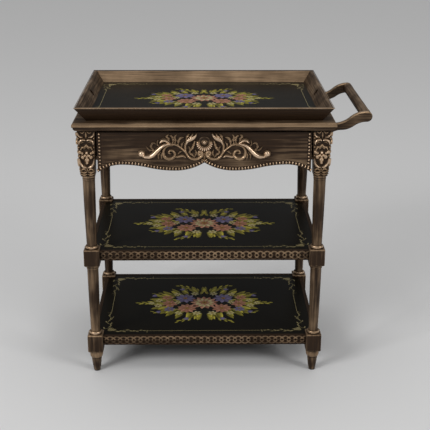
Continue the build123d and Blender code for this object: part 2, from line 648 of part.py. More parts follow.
hole_in = tray_spread - FINGER_HOLE_HEIGHT * TRAY_SLOPE + TRAY_WALL / 2
finger_hole = Pos(0, hole_in, TOP_HEIGHT + FINGER_HOLE_HEIGHT) * Rot(TRAY_FLARE - 90, 0, 0)
finger_hole *= Cylinder(FINGER_HOLE_RADIUS, 4 * TRAY_WALL)
for side in TURNS:
    long_side = side in ("front", "back")
    half = (TRAY_LENGTH if long_side else TRAY_DEPTH) / 2
    out = (TRAY_DEPTH if long_side else TRAY_LENGTH) / 2
    wall = mitred_strip(tray_section(), half, TRAY_WALL + tray_spread)
    save(f"tray_side_{side}", on_side(side, out) * (wall if long_side else wall - finger_hole))


def tray_floor_at(rise):
    """Plan of the tray inside its walls, at a height over the table top."""
    lean = TRAY_WALL + (TRAY_HEIGHT - rise) * TRAY_SLOPE
    return Pos(0, 0, TOP_HEIGHT + rise) * Rectangle(TRAY_LENGTH - 2 * lean, TRAY_DEPTH - 2 * lean)


save("tray_floor", loft([tray_floor_at(0), tray_floor_at(TRAY_FLOOR)]))
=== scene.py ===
from math import pi, radians

import bmesh
import bpy
import numpy as np
from mathutils import Matrix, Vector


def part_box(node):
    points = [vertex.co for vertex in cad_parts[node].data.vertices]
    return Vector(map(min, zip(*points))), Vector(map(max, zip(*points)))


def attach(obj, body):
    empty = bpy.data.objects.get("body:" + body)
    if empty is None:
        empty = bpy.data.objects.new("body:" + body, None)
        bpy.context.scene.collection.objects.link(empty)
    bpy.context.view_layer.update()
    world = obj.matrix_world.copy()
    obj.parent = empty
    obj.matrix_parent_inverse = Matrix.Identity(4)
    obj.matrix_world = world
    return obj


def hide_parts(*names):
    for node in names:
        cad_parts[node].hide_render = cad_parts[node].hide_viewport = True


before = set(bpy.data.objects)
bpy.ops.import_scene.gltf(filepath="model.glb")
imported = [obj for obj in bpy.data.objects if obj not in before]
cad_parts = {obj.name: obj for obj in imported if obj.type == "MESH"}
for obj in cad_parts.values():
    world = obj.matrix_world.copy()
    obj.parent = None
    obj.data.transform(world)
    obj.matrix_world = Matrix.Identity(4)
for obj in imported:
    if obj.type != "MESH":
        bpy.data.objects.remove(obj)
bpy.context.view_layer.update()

# Legs. Each is one square post of stained hardwood, turned and carved: a foot, two tapered shafts with
# half-round rings, square blocks for the shelf tenons, and a capital with scrolls and leaves on its outer
# faces. Old gold is dragged over the wood and rubbed thin, so it stays on rings, edges and high carving.
MM = 0.001
TOP_LOW, TOP_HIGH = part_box("table_top")
MIDDLE = np.array([(TOP_LOW.x + TOP_HIGH.x) / 2, 0.0, 0.0])
LEG_X, LEG_Y = 318.0, 216.0
CAPITAL_LOW, CAPITAL_HIGH = 606.0, 736.0
CAPITAL_TALL = CAPITAL_HIGH - CAPITAL_LOW
CAPITAL_HALF_LOW, CAPITAL_HALF_HIGH = 19.5, 24.5
CAPITAL_ROWS, CARVED_COLUMNS, PLAIN_COLUMNS = 190, 74, 5
CARVING_HALF, CARVING_DEEP = 24.6, 6.6
CARVING_GILT, HOLLOW_GILT, PLAIN_GILT = 1.05, -0.02, 0.15
RIM_SLOPE, RIM_PROUD = 2.2, 2.0
BLOCK_HALF = 22.0
EASE = 2.0
GROUND = -2.2
CORNERS = {"front_left": (-1, -1), "front_right": (1, -1), "back_left": (-1, 1), "back_right": (1, 1)}
BLOCK_GILT = (0.3, 0.4, 0.14, 0.14, 0.5, 0.45)
CORNER_GILT, CORNER_FADE = 0.4, 0.07
BULGE_ROWS, TAPER_ROWS, POST_SIDES, KNOT_STEPS = 11, 25, 56, 14
VEIN_WIDTH, LOBE_DEPTH, FLUTE_SLANT, FLUTE_DEPTH, STEEP = 0.25, 0.12, 0.10, 0.22, 5.0
SHARP_EDGE = radians(42)
STAIN_DARK, STAIN_LIGHT = (0.006, 0.003, 0.0013, 1), (0.046, 0.0225, 0.009, 1)
GOLD_DULL, GOLD_WARM = (0.27, 0.170, 0.092, 1), (0.52, 0.360, 0.222, 1)
# Pale gold of the highest gilt: burnished gold and a painted highlight.
GOLD_BURNISH_AND_HIGHLIGHT = (0.86, 0.65, 0.47, 1)
ALONG_GRAIN, PATCHES, SPECKS = 9.0, 11.0, 420.0
STREAK_SHARE, PATCH_SHARE, GILT_SHARE, BARE_SHARE = 0.9, 0.6, 1.1, 0.75
COVER_FROM, COVER_TO = 0.1, 0.95
BURNISH_AND_HIGHLIGHT_FROM, BURNISH_AND_HIGHLIGHT_TO = 0.85, 1.65
GOLD_METAL, WOOD_ROUGH, GOLD_SMOOTHER = 0.8, 0.56, -0.25


def feed(node, inputs):
    """Give a node's sockets their values, or link them to the outputs that feed them."""
    for key, value in inputs.items():
        if isinstance(value, bpy.types.NodeSocket):
            node.id_data.links.new(value, node.inputs[key])
        else:
            node.inputs[key].default_value = value


def shade(tree, kind, inputs=None, **settings):
    """Add one shader node with its inputs and settings, and return its outputs."""
    made = tree.nodes.new(kind)
    for key, value in settings.items():
        setattr(made, key, value)
    feed(made, inputs or {})
    return made.outputs


def finish_of(name):
    """New material, its node tree, the tree's shader and the place on the object in metres."""
    material = bpy.data.materials.new(name)
    material.use_nodes = True
    tree = material.node_tree
    return material, tree, tree.nodes["Principled BSDF"], shade(tree, "ShaderNodeTexCoord")["Object"]


def noise(tree, where, scale, detail):
    """Cloud of values about a half, `scale` to the metre."""
    return shade(tree, "ShaderNodeTexNoise", {"Vector": where, "Scale": scale, "Detail": detail})[0]


def mixed(tree, value, share, more=0.0):
    """A value times a share, and more added."""
    return shade(tree, "ShaderNodeMath", {0: value, 1: share, 2: more}, operation="MULTIPLY_ADD")[0]


def blend_of(tree, share, low, high):
    """Colour between two others."""
    return shade(tree, "ShaderNodeMix", {0: share, 6: low, 7: high}, data_type="RGBA")[2]


def ramp(tree, value, low, high, **settings):
    """Nought to one as a value goes from low to high."""
    inputs = {"Value": value, "From Min": low, "From Max": high}
    return shade(tree, "ShaderNodeMapRange", inputs, **settings)[0]


def bumps(tree, height, strength, depth):
    """Fine relief in a finish, `depth` in metres."""
    return shade(tree, "ShaderNodeBump", {"Height": height, "Strength": strength, "Distance": depth})[0]


def gilded_wood(name, grain, gold, light_and_wear_way=None, light_and_wear_gold=0.0, both_ways=False, fine=210.0, painted_shade_by_height=None):
    """Dark stained wood with old gold dragged along the grain.

    A noise drawn out along the axis `grain` makes the streaks, `fine` of them to the metre, and a wide one
    the thick places. They are added to `gold` and to the piece's gilt attribute, and the sum, through a
    smooth step, is the cover of gold; where the sum is highest the gold turns pale, burnished gold and a
    painted highlight on crests. Faces that look along the way given after `gold`, or both ways along it,
    gain
    the gold given with that way: painted light and shade by the way a face looks, together with rubbed gold
    on edges. The last argument is a height, a greater one, and the gold added at the first and gone at the
    second: painted shade that changes with height.
    """
    material, tree, shader, where = finish_of(name)
    drawn = [fine, fine, fine]
    drawn[grain] = ALONG_GRAIN
    along = shade(tree, "ShaderNodeMapping", {"Vector": where, "Scale": drawn})[0]
    streak = noise(tree, along, 1.0, 5.0)
    patch = noise(tree, where, PATCHES, 3.0)
    speck = noise(tree, where, SPECKS, 2.0)
    gilt = shade(tree, "ShaderNodeAttribute", attribute_name="gilt")["Fac"]
    amount = mixed(tree, streak, STREAK_SHARE, gold - BARE_SHARE)
    amount = mixed(tree, patch, PATCH_SHARE, amount)
    amount = mixed(tree, gilt, GILT_SHARE, amount)
    # Painted light and shade: faces that look one way gain or lose gold, with rubbed gold on edges.
    if light_and_wear_way:
        normal = shade(tree, "ShaderNodeNewGeometry")["Normal"]
        facing = shade(tree, "ShaderNodeVectorMath", {0: normal, 1: light_and_wear_way}, operation="DOT_PRODUCT")["Value"]
        if both_ways:
            facing = shade(tree, "ShaderNodeMath", {0: facing}, operation="ABSOLUTE")[0]
        amount = mixed(tree, facing, light_and_wear_gold, amount)
    # Painted shade by height: gold added or taken away below a height.
    if painted_shade_by_height:
        full, gone, more = painted_shade_by_height
        height = shade(tree, "ShaderNodeSeparateXYZ", {0: where})["Z"]
        amount = mixed(tree, ramp(tree, height, gone, full), more, amount)
    cover = ramp(tree, amount, COVER_FROM, COVER_TO, interpolation_type="SMOOTHSTEP")
    wood = blend_of(tree, streak, STAIN_DARK, STAIN_LIGHT)
    old_gold = blend_of(tree, patch, GOLD_DULL, GOLD_WARM)
    # Painted highlight: the highest gold turns pale, burnished gold that also stands in for glints.
    burnish_and_highlight = ramp(tree, amount, BURNISH_AND_HIGHLIGHT_FROM, BURNISH_AND_HIGHLIGHT_TO)
    old_gold = blend_of(tree, burnish_and_highlight, old_gold, GOLD_BURNISH_AND_HIGHLIGHT)
    relief = mixed(tree, speck, 0.3, streak)
    feed(shader, {"Base Color": blend_of(tree, cover, wood, old_gold),
                  "Metallic": mixed(tree, cover, GOLD_METAL),
                  "Roughness": mixed(tree, cover, GOLD_SMOOTHER, WOOD_ROUGH),
                  "Specular IOR Level": 0.2, "Normal": bumps(tree, relief, 0.35, 0.0006)})
    return material


def weave(rows, columns, closed=True, looped=False):
    """Corners of the four-sided faces of a grid of points.

    `closed` joins the last column to the first and `looped` the last row to the first.
    """
    index = np.arange(rows * columns).reshape(rows, columns)
    if looped:
        index = np.append(index, index[:1], axis=0)
    left = index if closed else index[:, :-1]
    right = np.roll(index, -1, axis=1) if closed else index[:, 1:]
    return np.stack([left[:-1], right[:-1], right[1:], left[1:]], -1).reshape(-1, 4)


def capped(grid, gilt):
    """Tube over a grid of points, rows along it and columns round it, each end closed to its middle."""
    rows, columns = grid.shape[:2]
    points = np.concatenate([grid.reshape(-1, 3), grid[[0, -1]].mean(axis=1)])
    gilt = np.broadcast_to(gilt, (rows, columns))
    gilt = np.concatenate([gilt.ravel(), gilt[[0, -1]].mean(axis=1)])
    around = np.arange(columns)
    after = np.roll(around, -1)
    last = (rows - 1) * columns
    first_end = np.stack([after, around, np.full(columns, rows * columns)], 1)
    last_end = np.stack([around + last, after + last, np.full(columns, rows * columns + 1)], 1)
    return points, [weave(rows, columns), first_end, last_end], gilt


def show(name, data):
    """Put new data in the scene as an object at the origin."""
    obj = bpy.data.objects.new(name, data)
    bpy.context.scene.collection.objects.link(obj)
    return obj


def piece(name, shells, material, body, slot, *replaced, layer="gilt"):
    """One mesh of closed shells, each its points in mm from the carcass's middle, its faces and its gilt."""
    starts = np.cumsum([0] + [len(shell[0]) for shell in shells[:-1]])
    points = np.concatenate([shell[0] for shell in shells]) * MM + MIDDLE
    values = np.concatenate([shell[2] for shell in shells])
    faces = [part + start for shell, start in zip(shells, starts) for part in shell[1]]
    corners = np.concatenate([part.ravel() for part in faces]).astype(np.int32)
    sides = np.concatenate([np.full(len(part), part.shape[1]) for part in faces])
    mesh = bpy.data.meshes.new(name)
    mesh.vertices.add(len(points))
    mesh.vertices.foreach_set("co", points.astype(np.float32).ravel())
    mesh.loops.add(len(corners))
    mesh.loops.foreach_set("vertex_index", corners)
    mesh.polygons.add(len(sides))
    mesh.polygons.foreach_set("loop_start", (np.cumsum(sides) - sides).astype(np.int32))
    mesh.update(calc_edges=True)
    work = bmesh.new()
    work.from_mesh(mesh)
    bmesh.ops.recalc_face_normals(work, faces=work.faces)
    work.to_mesh(mesh)
    work.free()
    mesh.polygons.foreach_set("use_smooth", np.ones(len(sides), bool))
    mesh.set_sharp_from_angle(angle=SHARP_EDGE)
    kind, field = ("FLOAT", "value") if values.ndim == 1 else ("FLOAT_COLOR", "color")
    mesh.attributes.new(layer, kind, "POINT").data.foreach_set(field, values.astype(np.float32).ravel())
    mesh.materials.append(material)
    obj = show(name, mesh)
    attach(obj, body)
    if replaced:
        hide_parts(*replaced)


def half_round(low, high, radius, bulge, gilt):
    """Rows of a turned ring: radius - bulge + bulge * sqrt(1 - t^2), with t from -1 to 1 up the ring."""
    t = np.linspace(-1, 1, BULGE_ROWS)
    swell = np.sqrt(1 - t ** 2)
    z = (low + high + t * (high - low)) / 2
    return np.stack([z, radius - bulge + bulge * swell, 0 * t, gilt * swell], 1)


def taper(low, radius_low, high, radius_high, swell, gilt):
    """Rows of a turned shaft: a straight taper plus a sine swell, gilt at its ends and less between."""
    t = np.linspace(0, 1, TAPER_ROWS)
    radius = radius_low + (radius_high - radius_low) * t + swell * np.sin(pi * t)
    return np.stack([low + t * (high - low), radius, 0 * t, gilt * (0.7 + 0.3 * np.cos(2 * pi * t))], 1)


def square_block(low, high):
    """Rows of a square block, eased at its top and bottom, with gold left on those edges."""
    z = np.array([low, low + EASE, low + 2 * EASE, high - 2 * EASE, high - EASE, high])
    half = BLOCK_HALF - np.array([EASE, 0, 0, 0, 0, EASE])
    return np.stack([z, half, np.ones(len(z)), BLOCK_GILT], 1)


def post(rows):
    """Surface of the turned post, angle by row: a circle of the row's radius, or a square, corners eased.

    The square's radius at an angle is half / max(|cos|, |sin|), cut by the diagonal line of the ease.
    """
    corner = np.arctan((BLOCK_HALF - EASE) / BLOCK_HALF)
    eased = np.concatenate([[k * pi / 2 + corner, (k + 1) * pi / 2 - corner] for k in range(4)])
    angle = np.sort(np.concatenate([np.linspace(0, 2 * pi, POST_SIDES, endpoint=False), eased]))
    z, half, square, gilt = rows.T[..., None]
    cos, sin = np.cos(angle), np.sin(angle)
    flat = np.minimum(half / np.maximum(abs(cos), abs(sin)), (2 * half - EASE) / (abs(cos) + abs(sin)))
    radius = np.where(square > 0, flat, half)
    edge = square * np.exp(-((abs(cos) - abs(sin)) / CORNER_FADE) ** 2)
    points = np.stack([radius * cos, radius * sin, z + 0 * radius], -1)
    return points, np.maximum(gilt + 0 * radius, CORNER_GILT * edge)


def curve(knots):
    """Smooth line through the knots: cubic pieces that pass each along the step between its neighbours.

    One knot alone gives a line so short that a stroke along it is a round boss.
    """
    knots = np.array(knots, float)
    if len(knots) == 1:
        return knots + [[0, -0.01], [0, 0.01]]
    far = np.concatenate([2 * knots[:1] - knots[1:2], knots, 2 * knots[-1:] - knots[-2:-1]])
    t = np.linspace(0, len(knots) - 1, KNOT_STEPS * (len(knots) - 1) + 1)
    i = np.minimum(t.astype(int), len(knots) - 2)
    f = (t - i)[:, None]
    a, b, c, d = far[i], far[i + 1], far[i + 2], far[i + 3]
    return b + 0.5 * f * (c - a + f * (2 * a - 5 * b + 4 * c - d + f * (3 * (b - c) + d - a)))


def carve(ground, u, v, knots, widths, height, vein=0.0, lobes=0):
    """Raise one stroke: height * sqrt(1 - r^2), where r is the distance to its line over its half width.

    The half width runs through `widths` along the line and `vein` sinks a groove down the middle. With
    `lobes` the stroke is a leaf: its edge swells and narrows that often, and slanting flutes run from the
    vein to the swells. Past its edge a stroke falls away steeply, so that the highest stroke wins.
    """
    line = curve(knots)
    t = np.linspace(0, 1, len(line))
    half = np.interp(t, np.linspace(0, 1, len(widths)), widths)
    reach = half.max() * 2
    near = (u > line[:, 0].min() - reach) & (u < line[:, 0].max() + reach)
    near &= (v > line[:, 1].min() - reach) & (v < line[:, 1].max() + reach)
    apart = np.hypot(u[near][:, None] - line[:, 0], v[near][:, None] - line[:, 1]) / half
    nearest = apart.argmin(axis=1)
    r = np.take_along_axis(apart, nearest[:, None], 1)[:, 0]
    flutes = np.cos(2 * pi * lobes * (t[nearest] - FLUTE_SLANT * r)) if lobes else 1.0
    r = r / (1 - LOBE_DEPTH + LOBE_DEPTH * flutes)
    rise = height * np.sqrt(np.clip(1 - r ** 2, 0, 1)) * (1 - vein * np.exp(-(r / VEIN_WIDTH) ** 2))
    rise *= 1 - FLUTE_DEPTH * (1 - flutes) * np.clip(r, 0, 1)
    rise -= STEEP * np.clip(r - 1, 0, None)
    ground[near] = np.maximum(ground[near], rise)


def capital_carving(u, v):
    """Height of the carving on a capital's face in mm, u across from its middle line and v up from its foot.

    Each stroke is its knots, the half widths along it, its height, its vein's depth and its lobes, if any.
    """
    u = abs(u)
    rim = np.clip(np.minimum(v, CAPITAL_TALL - v) / RIM_SLOPE, 0, 1)
    ground = GROUND * rim
    strokes = [
        (((3, 127), (9, 122.5), (15, 125)), (0.8, 1.8, 0.8), 1.4),
        (((22, 124), (20.5, 117), (15.5, 112.3), (8.5, 111.5)), (1.2, 2.2, 2.6, 1.3), 4.2),
        (((0, 124), (0, 109)), (1.2, 2.6, 1.0), 2.0, 0.4, 2),
        (((20.5, 91), (19.6, 97.5), (14, 102.6), (6, 104), (2.4, 102)), (1.3, 2.9, 3.3, 2.9, 1.4), 5.2),
        (((16, 93), (11.5, 97), (5.5, 97.5)), (0.8, 1.6, 0.8), 1.2),
        (((17, 76.5), (12.8, 82.5), (6.5, 83.6), (0, 89.5)), (1.7, 2.9, 2.4, 2.8), 3.2, 0.2, 5),
        (((8.5, 78), (4.5, 80.5), (0, 84)), (0.9, 1.7, 1.2), 1.0),
        (((0, 67.5),), (4.7,), 5.6),
        (((12.5, 65.5), (19.5, 69)), (3.4, 5.2), 4.0, 0.25, 1),
        (((4.5, 60.5), (12.5, 55)), (3.4, 5.8), 4.3, 0.25, 1),
        (((0, 58), (0, 48), (0, 39.5)), (3.2, 7.4, 5.6), 4.9, 0.3, 2),
        (((22.2, 49.5), (21, 40), (16.4, 31.6), (9.4, 26.8), (2.8, 26)), (1.5, 3.0, 3.8, 3.6, 1.9), 5.6),
        (((0, 24), (0, 15.5)), (1.0, 2.4, 0.9), 2.4),
        (((3.5, 16.5), (12, 21.5), (21, 17)), (1.0, 2.7, 1.1), 2.8, 0.3),
        (((1.6, 13.5), (11, 10.2), (22, 13.5)), (1.0, 3.0, 1.2), 2.6, 0.35),
        (((1.6, 6.5), (11, 3.6), (21.5, 6.5)), (1.0, 2.6, 1.2), 2.2, 0.35),
        (((22, 108),), (2.3,), 3.0),
        (((21.6, 83),), (2.1,), 2.6),
        (((21.8, 58.5),), (2.0,), 2.6),
    ]
    for stroke in strokes:
        carve(ground, u, v, *stroke)
    return np.where(rim < 1, np.minimum(ground, RIM_PROUD * rim), ground)


def capital(sx, sy):
    """Square head of a leg, place round it by height: flat inner faces, carved outer ones, corners eased."""
    z = np.linspace(CAPITAL_LOW, CAPITAL_HIGH, CAPITAL_ROWS)[:, None]
    spread = CAPITAL_HALF_HIGH - CAPITAL_HALF_LOW
    half = CAPITAL_HALF_LOW + spread * (z - CAPITAL_LOW) / CAPITAL_TALL
    grids = []
    gilts = []
    for normal in ((1, 0), (0, 1), (-1, 0), (0, -1)):
        carved = normal in ((sx, 0), (0, sy))
        across = np.linspace(-1, 1, CARVED_COLUMNS if carved else PLAIN_COLUMNS) * (1 - EASE / half)
        out = half + 0 * across
        gilt = PLAIN_GILT + 0 * out
        if carved:
            height = capital_carving(across * CARVING_HALF, z - CAPITAL_LOW + 0 * across)
            out = half + height
            gilt = np.clip((height - GROUND) / CARVING_DEEP, 0, 1) * CARVING_GILT + HOLLOW_GILT
        side = across * half
        x = normal[0] * out - normal[1] * side
        y = normal[1] * out + normal[0] * side
        grids.append(np.stack([x, y, z + 0 * out], -1))
        gilts.append(gilt)
    return np.concatenate(grids, axis=1), np.concatenate(gilts, axis=1)


# The turning from the foot up: heights and radii in mm, the swell or bulge, and the gilt.
leg_rows = np.concatenate([
    taper(3, 9.8, 43, 14.8, 0.3, 0.22),
    half_round(43, 67, 19, 7.5, 0.55),
    square_block(67, 121),
    half_round(121, 131, 18, 3.0, 1.0),
    taper(131, 13, 326, 16, 0.5, 0.3),
    half_round(326, 331, 17.5, 2.2, 0.45),
    half_round(331, 338, 19, 3.0, 0.45),
    square_block(338, 388),
    half_round(388, 398, 18, 3.0, 1.0),
    taper(398, 14, 591, 17, 0.5, 0.3),
    half_round(591, 598, 17.6, 1.2, 0.35),
    half_round(598, 606, 18.6, 2.0, 0.5),
])
post_points, post_gilt = post(leg_rows)
leg_finish = gilded_wood("gilded_leg", 2, 0.03, fine=130.0)
for corner, (sx, sy) in CORNERS.items():
    place = np.array([sx * LEG_X, sy * LEG_Y, 0])
    head_points, head_gilt = capital(sx, sy)
    shells = [capped(post_points + place, post_gilt), capped(head_points + place, head_gilt)]
    piece(f"carved_leg_{corner}", shells, leg_finish, "carcass", "gilded_wood", f"leg_{corner}")

# Glides. A round pad of dark moulded nylon, nailed under each foot.
# It keeps the turned tip off the floor and is dulled by scuffs.
NYLON_DARK, NYLON_SCUFFED = (0.012, 0.011, 0.010, 1), (0.04, 0.037, 0.034, 1)


def mottled(name, scale, detail, low, high, roughness, metallic=0.0):
    """Plain finish whose colour wanders between two by a noise, `scale` to the metre."""
    material, tree, shader, where = finish_of(name)
    colour = blend_of(tree, noise(tree, where, scale, detail), low, high)
    feed(shader, {"Base Color": colour, "Roughness": roughness, "Metallic": metallic})
    return material


def dress(material, *nodes):
    """Give CAD nodes one finish."""
    for name in nodes:
        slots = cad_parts[name].data.materials
        slots.clear()
        slots.append(material)


dress(mottled("glide_nylon", 300.0, 3.0, NYLON_DARK, NYLON_SCUFFED, 0.6), "foot_glides")

# Shelf frames. Four rails of stained wood are tenoned into the leg blocks round each shelf. A guilloche is
# carved in the sunk outer face of each, from block to block: oval rings, each woven through its neighbours,
# with a small bud in the middle of the ring. The high places are gilded like the legs.
RAIL_X, RAIL_Y = 327.5, 225.5
SHELVES = {"middle": 381.0, "lower": 114.0}
RAIL_MIDDLE = -13.5
FIELD_DEPTH = 3.0
RING_PITCH = 19.7
RING_LONG, RING_HIGH = 15.6, 11.4
RING_POWER = 1.43
RING_HALF = 2.2
RING_LIFT = 0.9
RING_ROOM = 13.3
RING_STEPS = 16
RING_CROWN = 0.75
RING_SLIM, RING_SWELL = 0.9, 0.35
RING_SUNK, RING_RISE, RING_WEAVE = 0.2, 3.9, 0.35
RING_GILT, TOP_PAINTED_LIGHT, CROSSING_GILT, FOOT_GILT = 0.53, 0.07, 0.14, -0.25
BUD_RADII = np.array([2.4, 1.5, 1.8])
BUD_GILT = 0.25
BEAD_ROWS, BEAD_SIDES = 6, 8
CROWN_GILT, CROWN_LEAST, CROWN_MOST = 0.7, -0.6, 1.2
UPWARD = (0, 0, 1)
TURNS = {"front": 0, "right": 1, "back": 2, "left": 3}


def on_side(side, out, shells, lift=0.0):
    """Turn shells from a board's frame, x along it, y behind its face, z up, to a side of the carcass."""
    turned = []
    for points, faces, gilt in shells:
        x, y, z = points[:, 0], points[:, 1] - out, points[:, 2] + lift
        for _ in range(TURNS[side]):
            x, y = -y, x
        turned.append((np.stack([x, y, z], -1), faces, gilt))
    return turned


def power(value, exponent):
    """Power of the size of a value, with the value's sign."""
    return np.sign(value) * abs(value) ** exponent


def square_to(along):
    """Directions square to others in the plane of a board's face."""
    return np.stack([-along[:, 2], 0 * along[:, 1], along[:, 0]], -1)


def rings(centres):
    """Rings in a row along a rail, face at y = 0, each a closed low ridge of sixteen by four faces.

    The middle line of a ring is an oval drawn in at its shoulders, (long * cos(t)^1.43, high * sin(t)^1.43)
    about its centre with the signs kept, and the ridge stands square to it, wider over the top and bottom,
    with its foot inside the rail. sin(2 t) lifts it over one neighbour and sinks it under the other.
    """
    t = np.linspace(0, 2 * pi, RING_STEPS, endpoint=False)[:, None]
    cos, sin = np.cos(t), np.sin(t)
    across = RING_HALF * np.array([-1, -RING_CROWN, RING_CROWN, 1]) * (RING_SLIM + RING_SWELL * abs(sin))
    rise = np.array([0, 1, 1, 0])
    way_x, way_z = RING_HIGH * power(cos, 2 - RING_POWER), RING_LONG * power(sin, 2 - RING_POWER)
    square = np.hypot(way_x, way_z)
    x = RING_LONG * power(cos, RING_POWER) + across * way_x / square
    z = RING_LIFT + RING_HIGH * power(sin, RING_POWER) + across * way_z / square
    z = np.where(rise > 0, z, np.clip(z, -RING_ROOM, RING_ROOM))
    crossing = np.sin(2 * t)
    y = FIELD_DEPTH + RING_SUNK - rise * (RING_RISE + RING_WEAVE * crossing)
    # The upper half of each ring gains gilt as a painted light, and the lower half loses it.
    shine = rise * (RING_GILT + TOP_PAINTED_LIGHT * sin + CROSSING_GILT * crossing ** 2) + FOOT_GILT
    ring = np.stack([x, y, z], -1).reshape(-1, 3)
    points = centres[:, None] + ring
    faces = weave(*x.shape, looped=True) + np.arange(len(centres))[:, None, None] * len(ring)
    return points.reshape(-1, 3), [faces.reshape(-1, 4)], np.tile(shine.ravel(), len(centres))


def beads(centres, along, radii, gilt):
    """Egg-shaped beads at the centres, low spheres of eight by five faces, their middle axis along `along`.

    A bead's points are centre + along * x + across * z - y out of the board, with (x, y, z) on an ellipsoid.
    """
    polar = np.linspace(0, pi, BEAD_ROWS)[1:-1, None]
    azimuth = np.linspace(0, 2 * pi, BEAD_SIDES, endpoint=False)
    ball = np.stack([np.sin(polar) * np.cos(azimuth), np.sin(polar) * np.sin(azimuth),
                     np.cos(polar) + 0 * azimuth], -1)
    points, faces, _ = capped(ball, 0.0)
    points[-2:] = [[0, 0, 1], [0, 0, -1]]
    points = points * radii
    x, y, z = (points[None, :, k:k + 1] for k in range(3))
    spread = x * along[:, None] + y * np.array([0, 1.0, 0]) + z * square_to(along)[:, None]
    starts = np.arange(len(centres))[:, None, None] * len(points)
    faces = [(part + starts).reshape(-1, part.shape[1]) for part in faces]
    shine = gilt * np.clip(CROWN_GILT - points[:, 1] / radii[1], CROWN_LEAST, CROWN_MOST)
    return (centres[:, None] + spread).reshape(-1, 3), faces, np.tile(shine, len(centres))


band_finish = {axis: gilded_wood(f"gilded_guilloche_{axis}", axis, 0.02) for axis in (0, 1)}
# The rails' faces carry almost no gold, partly as painted shade of the sunk band, and are darker still on
# top.
rail_finish = {axis: gilded_wood(f"gilded_rail_{axis}", axis, -0.4, UPWARD, -0.6) for axis in (0, 1)}
for level, shelf in SHELVES.items():
    for side in TURNS:
        axis = 0 if side in ("front", "back") else 1
        out, half = (RAIL_Y, LEG_X - BLOCK_HALF) if axis == 0 else (RAIL_X, LEG_Y - BLOCK_HALF)
        count = int(half * 2 // RING_PITCH) + 1
        centres = np.zeros((count, 3))
        centres[:, 0] = (np.arange(count) - (count - 1) / 2) * RING_PITCH
        ahead = np.tile([1.0, 0, 0], (count, 1))
        buds = beads(centres + [0, FIELD_DEPTH, 0], ahead, BUD_RADII, BUD_GILT)
        shells = on_side(side, out, [rings(centres), buds], shelf + RAIL_MIDDLE)
        piece(f"shelf_{level}_guilloche_{side}", shells, band_finish[axis], "carcass", "gilded_carving")
        dress(rail_finish[axis], f"shelf_{level}_rail_{side}")

# Shelf panels. Each is a board in black lacquer that drops into the rails' rebates. A thin gold line with
# corner sprigs runs round it, and a mirrored spray of daisies, bell flowers and ferns is painted in the
# middle by hand.
LINE_X, LINE_Y = 285.0, 191.0
LINE_HALF = 0.5
SPRIG_X, SPRIG_Y = 122.0, 128.0
LINE_ROWS = np.array([-0.05, 0.1])
FAN_LEAVES, VINE_LEAVES = 5, 11
CORNER_SIGNS = np.array([[-1, -1], [1, -1], [1, 1], [-1, 1]])
MIRROR_X, MIRROR_Y = (-1, 1, 1), (1, -1, 1)
STROKE_ROWS = 7
STROKE_SIDES = np.array([-1.0, 0, 1.0])
STROKE_TIP, STROKE_ROUND, STROKE_RISE = 0.04, 0.8, 0.16
PETAL_ROOT, PETAL_LENGTH, PETAL_BEND, LEAF_SLIM = 0.18, 0.86, 0.12, 0.17
LAYER_LOW, LAYER_STEP = 0.02, 0.10
LACQUER_DARK, LACQUER_LIGHT = (0.0045, 0.0038, 0.0026, 1), (0.0098, 0.0082, 0.0056, 1)
UNDER_PAINT = (0.02, 0.018, 0.01, 1)
LEAF_GREEN = ((0.060, 0.055, 0.004), (0.95, 0.82, 0.100))
FERN_GREEN = ((0.030, 0.030, 0.004), (0.56, 0.48, 0.050))
ROSE = ((0.20, 0.050, 0.024), (0.88, 0.44, 0.28))
VIOLET = ((0.055, 0.045, 0.15), (0.40, 0.34, 0.56))
CREAM = ((0.42, 0.36, 0.12), (0.95, 0.88, 0.52))
AMBER = ((0.24, 0.10, 0.012), (0.60, 0.36, 0.07))
LINE_GOLD = ((0.16, 0.13, 0.055), (0.42, 0.35, 0.17))

lacquer, tree, shader, where = finish_of("black_lacquer")
cloud = noise(tree, where, 6.0, 4.0)
dust = noise(tree, where, 700.0, 2.0)
rough = mixed(tree, dust, 0.12, mixed(tree, cloud, 0.16, 0.22))
feed(shader, {"Base Color": blend_of(tree, cloud, LACQUER_DARK, LACQUER_LIGHT), "Roughness": rough,
              "Specular IOR Level": 0.06})

paint, tree, shader, where = finish_of("flower_paint")
colour = shade(tree, "ShaderNodeAttribute", attribute_name="paint")["Color"]
hairs = noise(tree, where, 900.0, 3.0)
worked = blend_of(tree, mixed(tree, hairs, 0.3), colour, UNDER_PAINT)
feed(shader, {"Base Color": worked, "Roughness": 0.42, "Specular IOR Level": 0.15,
              "Normal": bumps(tree, hairs, 0.3, 0.0002)})


def lenses(root, turn, length, width, bend, rim):
    """Leaf-shaped patches, patch by place along by place across, each a thin lens that lies in a plane.

    The middle line leaves `root` at the angle `turn` and bends evenly; the half width is
    width * (0.04 + 0.96 sin(pi t^0.8)^0.8) and the height rim at the edges, and 0.16 sin(pi t) more along
    the middle.
    """
    t = np.linspace(0, 1, STROKE_ROWS)[None, :, None]
    s = STROKE_SIDES
    numbers = np.broadcast_arrays(turn, length, width, bend)
    turn, length, width, bend = (np.asarray(x, float)[:, None, None] for x in numbers)
    heading = turn + bend * t
    chord = turn + bend * t / 2
    half = width * (STROKE_TIP + (1 - STROKE_TIP) * np.sin(pi * t ** STROKE_ROUND) ** STROKE_ROUND)
    x = root[:, 0, None, None] + length * t * np.cos(chord) - s * half * np.sin(heading)
    y = root[:, 1, None, None] + length * t * np.sin(chord) + s * half * np.cos(heading)
    z = rim + STROKE_RISE * (1 - s ** 2) * np.sin(pi * t) + 0 * x
    return np.stack([x, y, z], -1)


